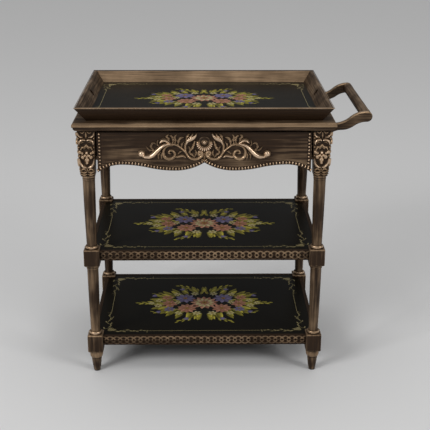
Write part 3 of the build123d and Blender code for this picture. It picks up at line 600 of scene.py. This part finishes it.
def closed_lenses(grid, values):
    """Shell of the patches: two strips of faces on top, one below, and a triangle at each end."""
    count, rows = grid.shape[:2]
    index = np.arange(rows * 3).reshape(rows, 3)
    top = weave(rows, 3, False)
    below = np.stack([index[:-1, 2], index[:-1, 0], index[1:, 0], index[1:, 2]], 1)
    ends = np.array([index[0], index[-1, ::-1]])
    starts = np.arange(count)[:, None, None] * rows * 3
    faces = [(part + starts).reshape(-1, part.shape[1]) for part in (top, below, ends)]
    return grid.reshape(-1, 3), faces, values.reshape(-1, 4)


def brush(root, turn, length, width, bend, layer, tint):
    """Brush strokes of one tint: lens patches, darker at the root and on one side, with their colours."""
    root = np.atleast_2d(np.asarray(root, float))
    turn = np.broadcast_to(turn, len(root))
    grid = lenses(root, turn, length, width, bend, LAYER_LOW + LAYER_STEP * layer)
    dark, light = (np.array(x) for x in tint)
    t = np.linspace(0, 1, STROKE_ROWS)[:, None]
    share = np.clip(0.25 + 0.6 * t + 0.30 * STROKE_SIDES, 0, 1)[None, :, :, None]
    mood = 0.76 + 0.24 * np.sin(np.arange(len(root)) * 2.4)[:, None, None, None]
    colours = dark + (light - dark) * share * mood
    return grid, np.concatenate([colours, np.ones_like(colours[..., :1])], -1)


def with_mirror(strokes, flip):
    """Strokes with their mirror images across a middle line of the panel."""
    return strokes + [(grid[:, :, ::-1] * flip, colours[:, :, ::-1]) for grid, colours in strokes]


def blossom(centre, petals, reach, width, layer, tint, start=0.0):
    """Ring of petals about a centre, each painted from the middle outwards."""
    angle = start + np.arange(petals) * 2 * pi / petals
    root = np.array(centre) + PETAL_ROOT * reach * np.stack([np.cos(angle), np.sin(angle)], 1)
    return brush(root, angle, reach * PETAL_LENGTH, width, PETAL_BEND, layer, tint)


def frond(start, heading, bend, length, leaves, size, tint):
    """Stem with leaves set in turn on its two sides, shorter towards its tip."""
    t = np.linspace(0.1, 0.97, leaves)
    along = heading + bend * t / 2
    root = np.array(start) + length * t[:, None] * np.stack([np.cos(along), np.sin(along)], 1)
    lean = np.where(np.arange(leaves) % 2 == 0, 0.75, -0.75) * (1.15 - 0.6 * t)
    grow = size * (1.1 - 0.55 * t)
    stem = brush([start], heading, length, 0.9, bend, 0, FERN_GREEN)
    return [stem, brush(root, heading + bend * t + lean, grow, grow * LEAF_SLIM, -lean * 0.5, 0, tint)]


def wreath(reach_x, reach_y, leaves, size, layer, tint):
    """Leaves that point outwards round the right half of an oval, larger towards its end."""
    a = np.linspace(-1.5, 1.5, leaves)
    root = np.stack([reach_x * np.cos(a), reach_y * np.sin(a)], 1)
    heading = np.arctan2(np.sin(a) / reach_y, np.cos(a) / reach_x)
    lean = np.where(np.arange(leaves) % 2 == 0, 0.5, -0.5)
    grow = size * (0.7 + 0.5 * np.cos(a))
    return brush(root, heading + lean, grow, grow * LEAF_SLIM, -1.2 * lean, layer, tint)


def spray():
    """The painted flowers, right half and mirror image, in mm from the middle of the panel."""
    half = frond((60, 4), 0.05, -0.2, 142, 13, 34, LEAF_GREEN)
    half += frond((40, 30), 0.75, -0.9, 122, 11, 30, FERN_GREEN)
    half += frond((40, -30), -0.75, 0.9, 122, 11, 30, LEAF_GREEN)
    half += frond((8, 54), 1.25, -0.9, 104, 10, 28, LEAF_GREEN)
    half += frond((8, -56), -1.25, 0.9, 104, 10, 28, LEAF_GREEN)
    half += [wreath(128, 92, 27, 40, 1, FERN_GREEN), wreath(108, 76, 23, 42, 2, LEAF_GREEN)]
    large = ((60, 32, 9, 31, VIOLET), (54, -40, 10, 30, ROSE), (108, -6, 8, 25, ROSE),
             (116, 38, 7, 19, ROSE), (108, -46, 7, 18, VIOLET))
    for x, y, petals, reach, tint in large:
        half += [blossom((x, y), petals, reach, reach * 0.25, 3, tint, 0.3),
                 blossom((x, y), petals - 2, reach * 0.6, reach * 0.18, 4, tint, 0.7),
                 blossom((x, y), 6, reach * 0.24, reach * 0.08, 6, AMBER)]
    small = ((30, 66, 13), (86, 62, 12), (24, -74, 14), (80, -74, 12), (144, -20, 13), (142, 16, 12),
             (166, -2, 10), (84, 2, 11))
    for x, y, reach in small:
        half += [blossom((x, y), 6, reach, reach * 0.26, 4, CREAM, 0.2),
                 blossom((x, y), 4, reach * 0.3, reach * 0.12, 6, AMBER)]
    for x, y, heading in ((66, 92, 1.1), (134, -60, -0.6), (52, -104, -1.2), (150, 48, 0.5)):
        bell = heading + np.array([-0.45, 0, 0.45])
        half += [brush([(x, y)] * 3, bell, 17, 3.6, 0.0, 3, VIOLET),
                 brush([(x, y)], heading + pi, 24, 0.9, 0.5, 1, FERN_GREEN)]
    rounds = ((13, 42, 3, 0, ROSE), (11, 31, 4, 0.2, CREAM), (8, 20, 5, 0.1, ROSE))
    middle = [blossom((0, 0), petals, reach, reach * 0.21, layer, tint, start + pi / 2)
              for petals, reach, layer, start, tint in rounds]
    return with_mirror(half, MIRROR_X) + middle + [blossom((0, 0), 9, 9, 2.2, 7, AMBER, pi / 2)]


def corner_sprigs(line_x, line_y, side_reach):
    """Gold corner sprigs: a fan of leaves, and along each side a winding vine that ends in a curl."""
    corner = np.array([line_x, line_y])
    fan = np.linspace(-0.55, 0.55, FAN_LEAVES) + 1.25 * pi
    half = [brush([corner] * FAN_LEAVES, fan, 24, 3.0, 0.0, 0, LINE_GOLD)]
    for reach, heading, sign, swing in ((SPRIG_X, pi, 1, 4.0), (side_reach, 1.5 * pi, -1, 8.0)):
        ahead = np.array([np.cos(heading), np.sin(heading)])
        t = np.linspace(0.1, 0.92, VINE_LEAVES)
        wave = (np.sin(t * 5.5 * pi) * swing * (1.2 - 0.6 * t))[:, None] * np.array([-ahead[1], ahead[0]])
        root = corner + ahead * (reach * t)[:, None] + wave
        lean = np.where(np.arange(VINE_LEAVES) % 2 == 0, 0.8, -0.8)
        half.append(brush(root, heading + lean, 15 - 7 * t, 2.3 - 0.9 * t, -lean, 0, LINE_GOLD))
        step = np.diff(root, axis=0)
        way = np.arctan2(step[:, 1], step[:, 0]) - lean[:-1] / 2
        length = np.hypot(step[:, 0], step[:, 1]) * 1.1
        half.append(brush(root[:-1], way, length, 0.8, lean[:-1], 0, LINE_GOLD))
        tip = corner + ahead * reach
        half.append(brush([tip], heading + pi - 0.3 * sign, 14, 0.8, 3.0 * sign, 0, LINE_GOLD))
    return with_mirror(with_mirror(half, MIRROR_X), MIRROR_Y)


def border_line(line_x, line_y, side_reach):
    """Straight gold lines between the sprigs, as flat bars a tenth of a millimetre thick."""
    bars = []
    long_half, short_half = line_x - SPRIG_X, line_y - side_reach
    for place, half in (((0, line_y), (long_half, LINE_HALF)), ((line_x, 0), (LINE_HALF, short_half))):
        for sign in (-1, 1):
            ring = np.tile(CORNER_SIGNS * half + sign * np.array(place), (2, 1, 1))
            grid = np.concatenate([ring, np.tile(LINE_ROWS[:, None, None], (1, 4, 1))], -1)
            points, faces, _ = capped(grid, 0.0)
            bars.append((points, faces, np.tile(np.append(LINE_GOLD[1], 1.0), (len(points), 1))))
    return bars


def painted(name, height, scale, line_x, line_y, side_reach, body, tone=1.0):
    """Flowers, sprigs and lines of a panel, laid on its lacquer at a height; `tone` darkens the flowers as
    painted shade.
    """
    strokes = [(grid * [scale, scale, 1], tone * colours) for grid, colours in spray()]
    strokes += corner_sprigs(line_x, line_y, side_reach)
    shells = [closed_lenses(*stroke) for stroke in strokes] + border_line(line_x, line_y, side_reach)
    shells = [(points + [0, 0, height], faces, colours) for points, faces, colours in shells]
    piece(name, shells, paint, body, "black_lacquer", layer="paint")


for level, shelf in SHELVES.items():
    dress(lacquer, f"shelf_{level}_panel")
    painted(f"shelf_{level}_painting", shelf, 1.0, LINE_X, LINE_Y, SPRIG_Y, "carcass")

# Aprons. Three scalloped boards of stained wood are tenoned between the capitals at the left, right and
# back. A row of carved beads on a low fillet follows the scalloped edge of each, gilded on its crowns.
APRON_X, APRON_Y = 333.5, 231.5
SHORT_HALF, LONG_HALF = 191.5, 293.5
SHORT_LOW_X, LONG_LOW_X = 55.0, 79.0
END_Z, CREST_Z, LOW_Z, CUSP_Z = 617.0, 639.0, 622.0, 645.0
CREST_FROM_END = 65.0
EDGE_STEPS, FILLET_EVERY = 1601, 5
BEAD_PITCH = 8.5
BEAD_RADII = np.array([2.3, 2.8, 4.5])
BEAD_INSET = 5.0
BEAD_GILT = 0.75
FILLET_WIDTH = 10.0
FILLET_RISE, FILLET_SUNK = 1.0, 0.5
FILLET_GILT = np.array([-0.4, -0.3, -0.6, -0.6])


def level_arc(x, level, other):
    """Height of the arc that is level at one point and passes another: z0 + R -+ sqrt(R^2 - (x - x0)^2)."""
    drop = other[1] - level[1]
    radius = ((other[0] - level[0]) ** 2 + drop ** 2) / (2 * drop)
    return level[1] + radius - np.sign(radius) * np.sqrt(np.clip(radius ** 2 - (x - level[0]) ** 2, 0, None))


def scallop(half, low_x):
    """The scalloped edge, sampled closely: arcs through the cusp, low point, turn, crest and end."""
    x = np.linspace(-half, half, EDGE_STEPS)
    far = abs(x)
    cusp, low, crest, end = (0, CUSP_Z), (low_x, LOW_Z), (half - CREST_FROM_END, CREST_Z), (half, END_Z)
    turn = ((low[0] + crest[0]) / 2, (low[1] + crest[1]) / 2)
    arcs = [level_arc(far, low, cusp), level_arc(far, low, turn), level_arc(far, crest, turn)]
    z = np.select([far < low[0], far < turn[0], far < crest[0]], arcs, level_arc(far, crest, end))
    return np.stack([x, 0 * x, z], 1)


def evenly(line, pitch):
    """Points at equal steps of about `pitch` along a line, with the line's direction at each."""
    steps = np.concatenate([[0], np.cumsum(np.linalg.norm(np.diff(line, axis=0), axis=1))])
    count = int(steps[-1] / pitch)
    at = (np.arange(count) + 0.5) / count * steps[-1]
    points, ahead = (np.stack([np.interp(s, steps, line[:, k]) for k in range(3)], 1) for s in (at, at + 1))
    ahead = ahead - points
    return points, ahead / np.linalg.norm(ahead, axis=1, keepdims=True)


def beaded_edge(half, low_x):
    """Fillet and beads along the scalloped edge of a frieze board, in the board's own frame."""
    line = scallop(half, low_x)
    points, ahead = evenly(line, BEAD_PITCH)
    profile = np.array([[0, FILLET_SUNK, 0], [0, -FILLET_RISE, 0],
                        [0, -FILLET_RISE, FILLET_WIDTH], [0, FILLET_SUNK, FILLET_WIDTH]])
    fillet = capped(line[::FILLET_EVERY, None] + profile, FILLET_GILT)
    centres = points + square_to(ahead) * BEAD_INSET - [0, FILLET_RISE, 0]
    return [fillet, beads(centres, ahead, BEAD_RADII, BEAD_GILT)]


bead_finish = gilded_wood("gilded_beads", 2, 0.02)
apron_finish = {axis: gilded_wood(f"gilded_apron_{axis}", axis, 0.16) for axis in (0, 1)}
short, long = (APRON_X, SHORT_HALF, SHORT_LOW_X, 1), (APRON_Y, LONG_HALF, LONG_LOW_X, 0)
for side, (out, half, low_x, axis) in {"left": short, "right": short, "back": long}.items():
    shells = on_side(side, out, beaded_edge(half, low_x))
    piece(f"apron_beads_{side}", shells, bead_finish, "carcass", "gilded_carving", f"apron_beading_{side}")
    dress(apron_finish[axis], f"apron_{side}")

# Table top. A board with a rounded upper edge lies on a coved moulding in four mitred strips, and is screwed
# down from inside the frieze. Its edge is gilded more than its face, in streaks along each side, and the
# lower part of its edge loses gold as painted shade.
EDGE_PAINTED_SHADE = (0.747, 0.757, -0.5)
board_finish = gilded_wood("gilded_board", 0, 0.98, UPWARD, -0.70, both_ways=True, painted_shade_by_height=EDGE_PAINTED_SHADE)
dress(board_finish, "table_top")
dress(gilded_wood("gilded_cove_long", 0, 0.20), "top_moulding_front", "top_moulding_back")
dress(gilded_wood("gilded_cove_short", 1, 0.20), "top_moulding_left", "top_moulding_right")

# Inside of the frieze. Rails, runners, guides, kickers, stops and glue blocks of plain planed wood carry the
# drawer, left unfinished as in most cabinet work.
PLANED_DARK, PLANED_LIGHT = (0.13, 0.075, 0.036, 1), (0.33, 0.215, 0.115, 1)
plain, tree, shader, where = finish_of("planed_wood")
along = shade(tree, "ShaderNodeMapping", {"Vector": where, "Scale": (14.0, 90.0, 150.0)})[0]
figure = noise(tree, along, 1.0, 5.0)
pores = noise(tree, where, 500.0, 2.0)
feed(shader, {"Base Color": blend_of(tree, figure, PLANED_DARK, PLANED_LIGHT), "Roughness": 0.68,
              "Normal": bumps(tree, pores, 0.2, 0.0004)})
dress(plain, "drawer_top_rail", "drawer_bottom_rail", "drawer_stops", "glue_blocks")
for hand in ("left", "right"):
    dress(plain, f"drawer_runner_{hand}", f"drawer_guide_{hand}", f"drawer_kicker_{hand}")

# Screws. Plain steel wood screws hold the top to the kickers and the handle to the right apron.
# They are turned from wire, with sunk heads, and have no coating.
STEEL_DULL, STEEL_BRIGHT = (0.34, 0.33, 0.32, 1), (0.58, 0.57, 0.55, 1)
steel = mottled("screw_steel", 1500.0, 2.0, STEEL_DULL, STEEL_BRIGHT, 0.35, 1.0)
dress(steel, "top_screws", "handle_screws")

# Drawer. A box of plain wood behind a scalloped front of stained wood. Beads run along the front's lower
# edge and up both its ends. A carved cartouche of scrolls, leaves and a flower, glued on, is the pull.
DRAWER_FACE = 234.5
DRAWER_HALF = 290.5
DRAWER_TOP = 729.0
UPRIGHT_X = 283.5
UPRIGHT_LOW, UPRIGHT_HALF, UPRIGHT_GILT = END_Z + 12, 4.0, -0.6
UPRIGHT_PITCH = 8.35
UPRIGHT_RADII = np.array([2.7, 2.7, 3.0])
FLOWER_Z = 703.0
PETAL_ANGLES = np.radians(np.arange(-90, 1, 15))
CARTOUCHE_HALF, CARTOUCHE_LOW, CARTOUCHE_HIGH = 182.0, -56.0, 29.0
CARTOUCHE_GROUND, EDGE_SUNK, BACK_SUNK = -3.0, 0.9, 1.2
PETAL_RIM, PETAL_RIM_WIDE = 20.5, 4.5
FLOWER_DIP, FLOWER_DIP_WIDE = 10.0, 3.2
FLOWER_RING_GILT = 0.5
HEIGHT_GILT, GROUND_GILT, LEAST_GILT, MOST_GILT = 0.1, 0.03, -0.4, 1.25
FRONT_PAINTED_SHADE = (0.625, 0.72, 0.28)
CELL = 0.7

dress(plain, "drawer_side_left", "drawer_side_right", "drawer_back", "drawer_bottom")
# The drawer front gains gold towards its foot, so its top is darker: painted shade under the table top.
dress(gilded_wood("gilded_drawer_front", 0, 0.04, fine=170.0, painted_shade_by_height=FRONT_PAINTED_SHADE), "drawer_front")


def upright_beads():
    """Fillet and beads up both ends of the drawer front."""
    shells = []
    for x in (-UPRIGHT_X, UPRIGHT_X):
        line = np.array([[x, 0, UPRIGHT_LOW], [x, 0, DRAWER_TOP]])
        points, ahead = evenly(line, UPRIGHT_PITCH)
        profile = np.array([[-UPRIGHT_HALF, FILLET_SUNK, 0], [-UPRIGHT_HALF, -FILLET_RISE, 0],
                            [UPRIGHT_HALF, -FILLET_RISE, 0], [UPRIGHT_HALF, FILLET_SUNK, 0]])
        shells.append(capped(line[:, None] + profile, UPRIGHT_GILT))
        shells.append(beads(points - [0, FILLET_RISE, 0], ahead, UPRIGHT_RADII, BEAD_GILT))
    return shells


shells = on_side("front", DRAWER_FACE, beaded_edge(DRAWER_HALF, LONG_LOW_X) + upright_beads())
piece("drawer_beads", shells, bead_finish, "drawer", "gilded_carving", "drawer_beading")


def cartouche_height(u, v):
    """Height of the cartouche in mm over the drawer front, u from its middle line and v up from the flower.

    The strokes are listed as for the capitals, and the flower's lower petals stand round a quarter turn.
    """
    u = abs(u)
    ground = np.full(u.shape, CARTOUCHE_GROUND)
    strokes = [
        (((161, -41), (149.5, -41), (139.7, -36), (130, -27), (121.5, -18), (112, -10), (102, -6), (92, -4)),
         (4.6, 6.6, 7.6, 7.2, 6.4, 5.2, 3.8, 2.6), 11.5),
        (((170, -32.5),), (10.0,), 11.5),
        (((161, -41), (166, -38)), (4.6, 6.0), 9.0),
        (((120, -1.5), (115, 3), (108, 5), (100, 1.5), (92, -4)), (2.2, 4.8, 5.2, 4.2, 2.6), 9.8),
        (((104, -6), (90, -6), (76, -8), (66.5, -14), (58, -21), (50, -30), (44, -40), (36, -46.5),
          (25, -48.5), (15, -45.5), (6.5, -38.5), (6.5, -30), (12.5, -26.5), (16.5, -31.5), (12.5, -37)),
         (2.6, 3.0, 3.0, 3.0, 3.0, 3.2, 3.6, 3.8, 3.8, 4.0, 4.4, 4.4, 3.8, 3.0, 2.4), 6.6),
        (((11.5, -34.5),), (8.5,), 5.5),
        (((86, -9.5), (98, -10.5), (107, -17), (111, -27), (108.5, -41), (98, -48), (86, -45.5),
          (79.5, -36), (84, -26), (92.5, -24), (97, -30), (92, -33)),
         (1.8, 3.0, 3.6, 4.0, 4.6, 4.8, 4.4, 3.8, 3.4, 3.0, 2.6, 1.8), 5.6),
        (((80, -40), (74, -41.5), (66, -39.5), (58, -39), (51, -42)), (1.8, 3.4, 3.6, 3.4, 1.8), 7.6),
        (((72, -34), (66, -28), (60, -26)), (1.2, 2.8, 1.0), 4.6, 0.3, 2),
        (((118, -27), (125, -37), (124, -49)), (1.4, 3.4, 1.0), 4.8, 0.35, 3),
        (((114, -29), (116.5, -39), (114, -50)), (1.2, 3.0, 1.0), 4.8, 0.35, 3),
        (((128, -31), (138, -23), (144, -12), (138, -3), (130, -6)), (1.6, 3.6, 4.0, 3.4, 1.6), 4.8, 0.3, 5),
        (((137, -25), (149, -22), (157, -13)), (1.4, 3.4, 1.2), 4.6, 0.35, 3),
        (((121, -15), (127, -6), (125, 5)), (1.4, 3.2, 1.2), 4.6, 0.35, 3),
        (((95, 0), (97, 9), (102, 16), (96, 20)), (1.8, 4.0, 4.0, 1.4), 5.0, 0.3, 4),
        (((86, -5), (84, 6), (87, 15), (93, 18)), (1.8, 3.8, 3.8, 1.4), 5.0, 0.3, 4),
        (((80, -6), (78, 5), (80, 14), (75, 20)), (1.8, 3.6, 3.6, 1.4), 5.0, 0.3, 4),
        (((71, -11), (70, 2), (64, 11), (56, 13)), (1.8, 4.2, 4.2, 1.4), 5.2, 0.3, 4),
        (((61, -18), (61, -8), (56, 0)), (1.4, 3.4, 1.2), 4.6, 0.3, 2),
        (((49, -31), (51.5, -20), (51.5, -9), (48, 0)), (2.6, 3.0, 3.4, 4.0), 6.8),
        (((49, -4), (45.5, 3), (40, 6.5), (32, 10.5), (26, 15.5), (21, 23)),
         (2.6, 4.8, 6.2, 6.0, 4.6, 1.6), 11.0, 0.1),
        (((45, 6), (38, 13), (31, 22.5)), (2.6, 4.0, 1.4), 9.6, 0.2),
        (((49, 6), (46.5, 15), (41, 22)), (2.2, 4.2, 1.4), 7.4, 0.3, 2),
        (((26, 3), (28.5, -6), (31.5, -14.5), (36, -22)), (2.0, 4.0, 4.6, 2.6), 8.0, 0.2, 3),
        (((43, -13), (38, -20), (40, -30), (33, -36), (27, -43)), (1.4, 3.4, 3.4, 3.6, 1.4), 5.2, 0.3, 5),
        (((25, -22), (22, -31), (26, -40)), (1.4, 3.4, 1.4), 5.2, 0.3, 3),
        (((0, -50), (0, -42), (0, -30)), (1.6, 3.0, 1.4), 6.6, 0.3),
        (((6, -49), (0, -53)), (2.0, 2.4), 7.0),
        (((0, 0),), (16.5,), 5.0),
        (((0, 0),), (6.2,), 10.0),
    ]
    for angle in PETAL_ANGLES:
        way = np.array([np.cos(angle), np.sin(angle)])
        low = -way[1]
        petal = (way * (12.5 + low), way * (16.5 + 2.5 * low), way * (20 + 3.5 * low))
        strokes.append((petal, (1.7, 2.9, 2.7), 7.6 + 2.4 * low, 0.1))
    for stroke in strokes:
        carve(ground, u, v, *stroke)
    return ground


def relief_solid(height, u, v):
    """Closed solid under a map of heights: the cells over the ground, a flat back and walls between them."""
    rows, columns = height.shape
    proud = height > 0
    keep = proud[:-1, :-1] | proud[1:, :-1] | proud[:-1, 1:] | proud[1:, 1:]
    index = np.arange(rows * columns).reshape(rows, columns)
    cells = np.stack([index[:-1, :-1], index[:-1, 1:], index[1:, 1:], index[1:, :-1]], -1)
    front = cells[keep]
    back = front[:, ::-1] + rows * columns
    around = np.pad(keep, 1)
    walls = []
    for (di, dj), (a, b) in {(-1, 0): (0, 1), (0, 1): (1, 2), (1, 0): (2, 3), (0, -1): (3, 0)}.items():
        open_side = keep & ~around[1 + di:1 + di + keep.shape[0], 1 + dj:1 + dj + keep.shape[1]]
        edge = cells[open_side][:, [a, b]]
        far_edge = edge + rows * columns
        walls.append(np.stack([edge[:, 1], edge[:, 0], far_edge[:, 0], far_edge[:, 1]], 1))
    top = np.stack([u, -np.maximum(height, -EDGE_SUNK), v], -1).reshape(-1, 3)
    bottom = np.stack([u, np.full_like(u, BACK_SUNK), v], -1).reshape(-1, 3)
    used, faces = np.unique(np.concatenate([front, back, *walls]), return_inverse=True)
    points = np.concatenate([top, bottom])[used]
    return points, [faces.reshape(-1, 4)], np.concatenate([height.ravel(), np.full(height.size, -1.0)])[used]


u, v = np.meshgrid(np.arange(-CARTOUCHE_HALF, CARTOUCHE_HALF + 0.01, CELL),
                   np.arange(CARTOUCHE_LOW, CARTOUCHE_HIGH + 0.01, CELL))
points, faces, height = relief_solid(cartouche_height(u, v), u, v)
# The ring of lower petals gains gilt as painted light; a ring over the disc round the boss loses some and
# stays darker.
far = np.hypot(points[:, 0], points[:, 2])
flower_rings = FLOWER_RING_GILT * np.exp(-((far - PETAL_RIM) / PETAL_RIM_WIDE) ** 2) * (points[:, 2] < 0)
flower_rings -= FLOWER_RING_GILT * np.exp(-((far - FLOWER_DIP) / FLOWER_DIP_WIDE) ** 2)
gilt = np.clip(HEIGHT_GILT * height + GROUND_GILT + flower_rings, LEAST_GILT, MOST_GILT)
shells = on_side("front", DRAWER_FACE, [(points, faces, gilt)], FLOWER_Z)
carving_finish = gilded_wood("gilded_cartouche", 0, 0.14)
piece("drawer_cartouche", shells, carving_finish, "drawer", "gilded_carving", "drawer_carving")

# Push handle. Two sawn arms are screwed to the right apron and hold a turned bar between their round heads.
# Stained wood with a little gold on the edges of the arms, and more on the upward faces of the arms and
# bar as a painted highlight.
dress(gilded_wood("gilded_arm", 0, 0.27, UPWARD, 0.66, fine=300.0), "handle_arm_front", "handle_arm_back")
dress(gilded_wood("gilded_bar", 1, 0.11, UPWARD, 0.30, fine=260.0), "handle_bar")

# Tray. A loose tray stands on the table top: a lacquered floor inside four leaning, mitred sides of stained
# wood, with a finger hole in each short side. Upward faces of the front and short sides gain gold as a
# painted highlight; the back side gains it on its forward face as painted light, its top staying dark as
# painted shade; the short sides carry less gold as painted shade.
FORWARD = (0, -1, 0)
TRAY_FINE = 380.0
dress(gilded_wood("gilded_tray_front", 0, 0.24, UPWARD, 0.60, fine=TRAY_FINE), "tray_side_front")
dress(gilded_wood("gilded_tray_back", 0, 0.08, FORWARD, 0.60, fine=TRAY_FINE), "tray_side_back")
short_finish = gilded_wood("gilded_tray_short", 1, 0.06, UPWARD, 0.30, fine=TRAY_FINE)
dress(short_finish, "tray_side_left", "tray_side_right")
dress(lacquer, "tray_floor")
TRAY_FLOOR = 769.0
RIM_X, RIM_Y, RIM_Z = 345.5, 255.5, 800.0
RIM_IN, RIM_RADIUS, RIM_SIDES = 0.6, 0.9, 8
RIM_HIGHLIGHT_GILT, RIM_BACK_SHADE_GILT = 0.9, -0.1
# The rim's gilded edge is a thin bar round the tray: at each corner a circle that leans along the mitre.
# Its gold is rubbed gilding with a painted highlight at the front and sides, and dimmer along the back as
# painted shade.
ring = CORNER_SIGNS * [RIM_X - RIM_IN, RIM_Y - RIM_IN]
turn = np.linspace(0, 2 * pi, RIM_SIDES, endpoint=False)
lean = np.stack([np.sign(ring[:, 0])[:, None] * np.cos(turn), np.sign(ring[:, 1])[:, None] * np.cos(turn),
                 np.tile(np.sin(turn), (4, 1))], -1)
grid = np.concatenate([ring, np.full((4, 1), RIM_Z - RIM_IN)], 1)[:, None] + RIM_RADIUS * lean
gilt = np.repeat(np.where(ring[:, 1] > 0, RIM_BACK_SHADE_GILT, RIM_HIGHLIGHT_GILT), RIM_SIDES)
shells = [(grid.reshape(-1, 3), [weave(4, RIM_SIDES, looped=True)], gilt)]
piece("tray_rim_edge", shells, bead_finish, "tray", "gilded_wood")
# The tray's flowers are darkened by the tone as painted shade.
painted("tray_painting", TRAY_FLOOR, scale=0.94, line_x=293.0, line_y=194.0, side_reach=90.0, body="tray",
        tone=0.72)

# Each finger hole is lined by a stained tube that leans with the wall: a thin rectangle turned about the
# hole's axis.
HOLE_IN, HOLE_Z = 17.65, 783.0
HOLE_RADIUS = 10.9
LINING = 0.5
BORE_HALF = 4.6
FLARE = radians(35)
BORE_SIDES, BORE_GILT = 24, -0.5
turn = np.linspace(0, 2 * pi, BORE_SIDES, endpoint=False)[:, None]
radius = HOLE_RADIUS - LINING * np.array([0, 0, 1, 1])
depth = BORE_HALF * np.array([-1, 1, 1, -1])
along, rise = radius * np.cos(turn), radius * np.sin(turn)
bore = np.stack([along, HOLE_IN + depth * np.cos(FLARE) - rise * np.sin(FLARE),
                 HOLE_Z + depth * np.sin(FLARE) + rise * np.cos(FLARE)], -1).reshape(-1, 3)
bores = [(bore, [weave(BORE_SIDES, len(depth), looped=True)], np.full(len(bore), BORE_GILT))]
shells = on_side("left", RIM_X, bores) + on_side("right", RIM_X, bores)
piece("tray_bores", shells, gilded_wood("stained_bore", 1, -0.2), "tray", "gilded_wood")

# Studio. A pale floor, a soft lamp at each side in front, a wide even one overhead and a pale sky.
# The camera stands where the photograph was taken from.
FLOOR_HALF = 30
LAMP_AIM = (0, 0, 0.45)
floor_finish, _, shader, _ = finish_of("studio_floor")
feed(shader, {"Base Color": (0.70, 0.70, 0.70, 1), "Roughness": 0.9})
floor_mesh = bpy.data.meshes.new("studio_floor")
floor_corners = [(x * FLOOR_HALF, y * FLOOR_HALF, 0) for x, y in CORNER_SIGNS.tolist()]
floor_mesh.from_pydata(floor_corners, [], [(0, 1, 2, 3)])
floor_mesh.materials.append(floor_finish)
show("studio_floor", floor_mesh)


def aimed(side, up, back, place):
    """Matrix of a lamp or camera from its three directions and its place."""
    return Matrix([[side[k], up[k], back[k], place[k]] for k in range(3)] + [[0, 0, 0, 1]])


def lamp(name, place, aim, size, watts):
    """Square soft lamp that looks at a point."""
    data = bpy.data.lights.new(name, "AREA")
    data.size = size
    data.energy = watts
    back = np.array(place) - np.array(aim)
    back = back / np.linalg.norm(back)
    side = np.cross([0, 0, 1], back)
    side = side / np.linalg.norm(side)
    show(name, data).matrix_world = aimed(side, np.cross(back, side), back, place)


lamp("left_lamp", (-4.4, -4.0, 3.6), LAMP_AIM, 2.0, 190)
lamp("right_lamp", (4.6, -3.6, 3.2), LAMP_AIM, 1.8, 110)
overhead = bpy.data.lights.new("overhead_lamp", "SUN")
overhead.energy = 1.0
overhead.angle = radians(60)
show("overhead_lamp", overhead)
world = bpy.data.worlds.new("studio_sky")
world.use_nodes = True
feed(world.node_tree.nodes["Background"], {"Color": (0.80, 0.80, 0.80, 1), "Strength": 0.26})
bpy.context.scene.world = world
bpy.context.scene.view_settings.view_transform = "Standard"

CAMERA = (-0.06171, -2.69323, 1.38830)
PITCH, YAW, ROLL = radians(20.011), radians(0.892), radians(0.173)
ahead = np.array([np.sin(YAW) * np.cos(PITCH), np.cos(YAW) * np.cos(PITCH), -np.sin(PITCH)])
right = np.array([np.cos(YAW), -np.sin(YAW), 0.0])
up = np.cross(right, ahead)
right, up = np.cos(ROLL) * right + np.sin(ROLL) * up, np.cos(ROLL) * up - np.sin(ROLL) * right
lens = bpy.data.cameras.new("photo_camera")
lens.sensor_width = 36.0
lens.lens = 79.0
camera = show("photo_camera", lens)
camera.matrix_world = aimed(right, up, -ahead, CAMERA)
bpy.context.scene.camera = camera
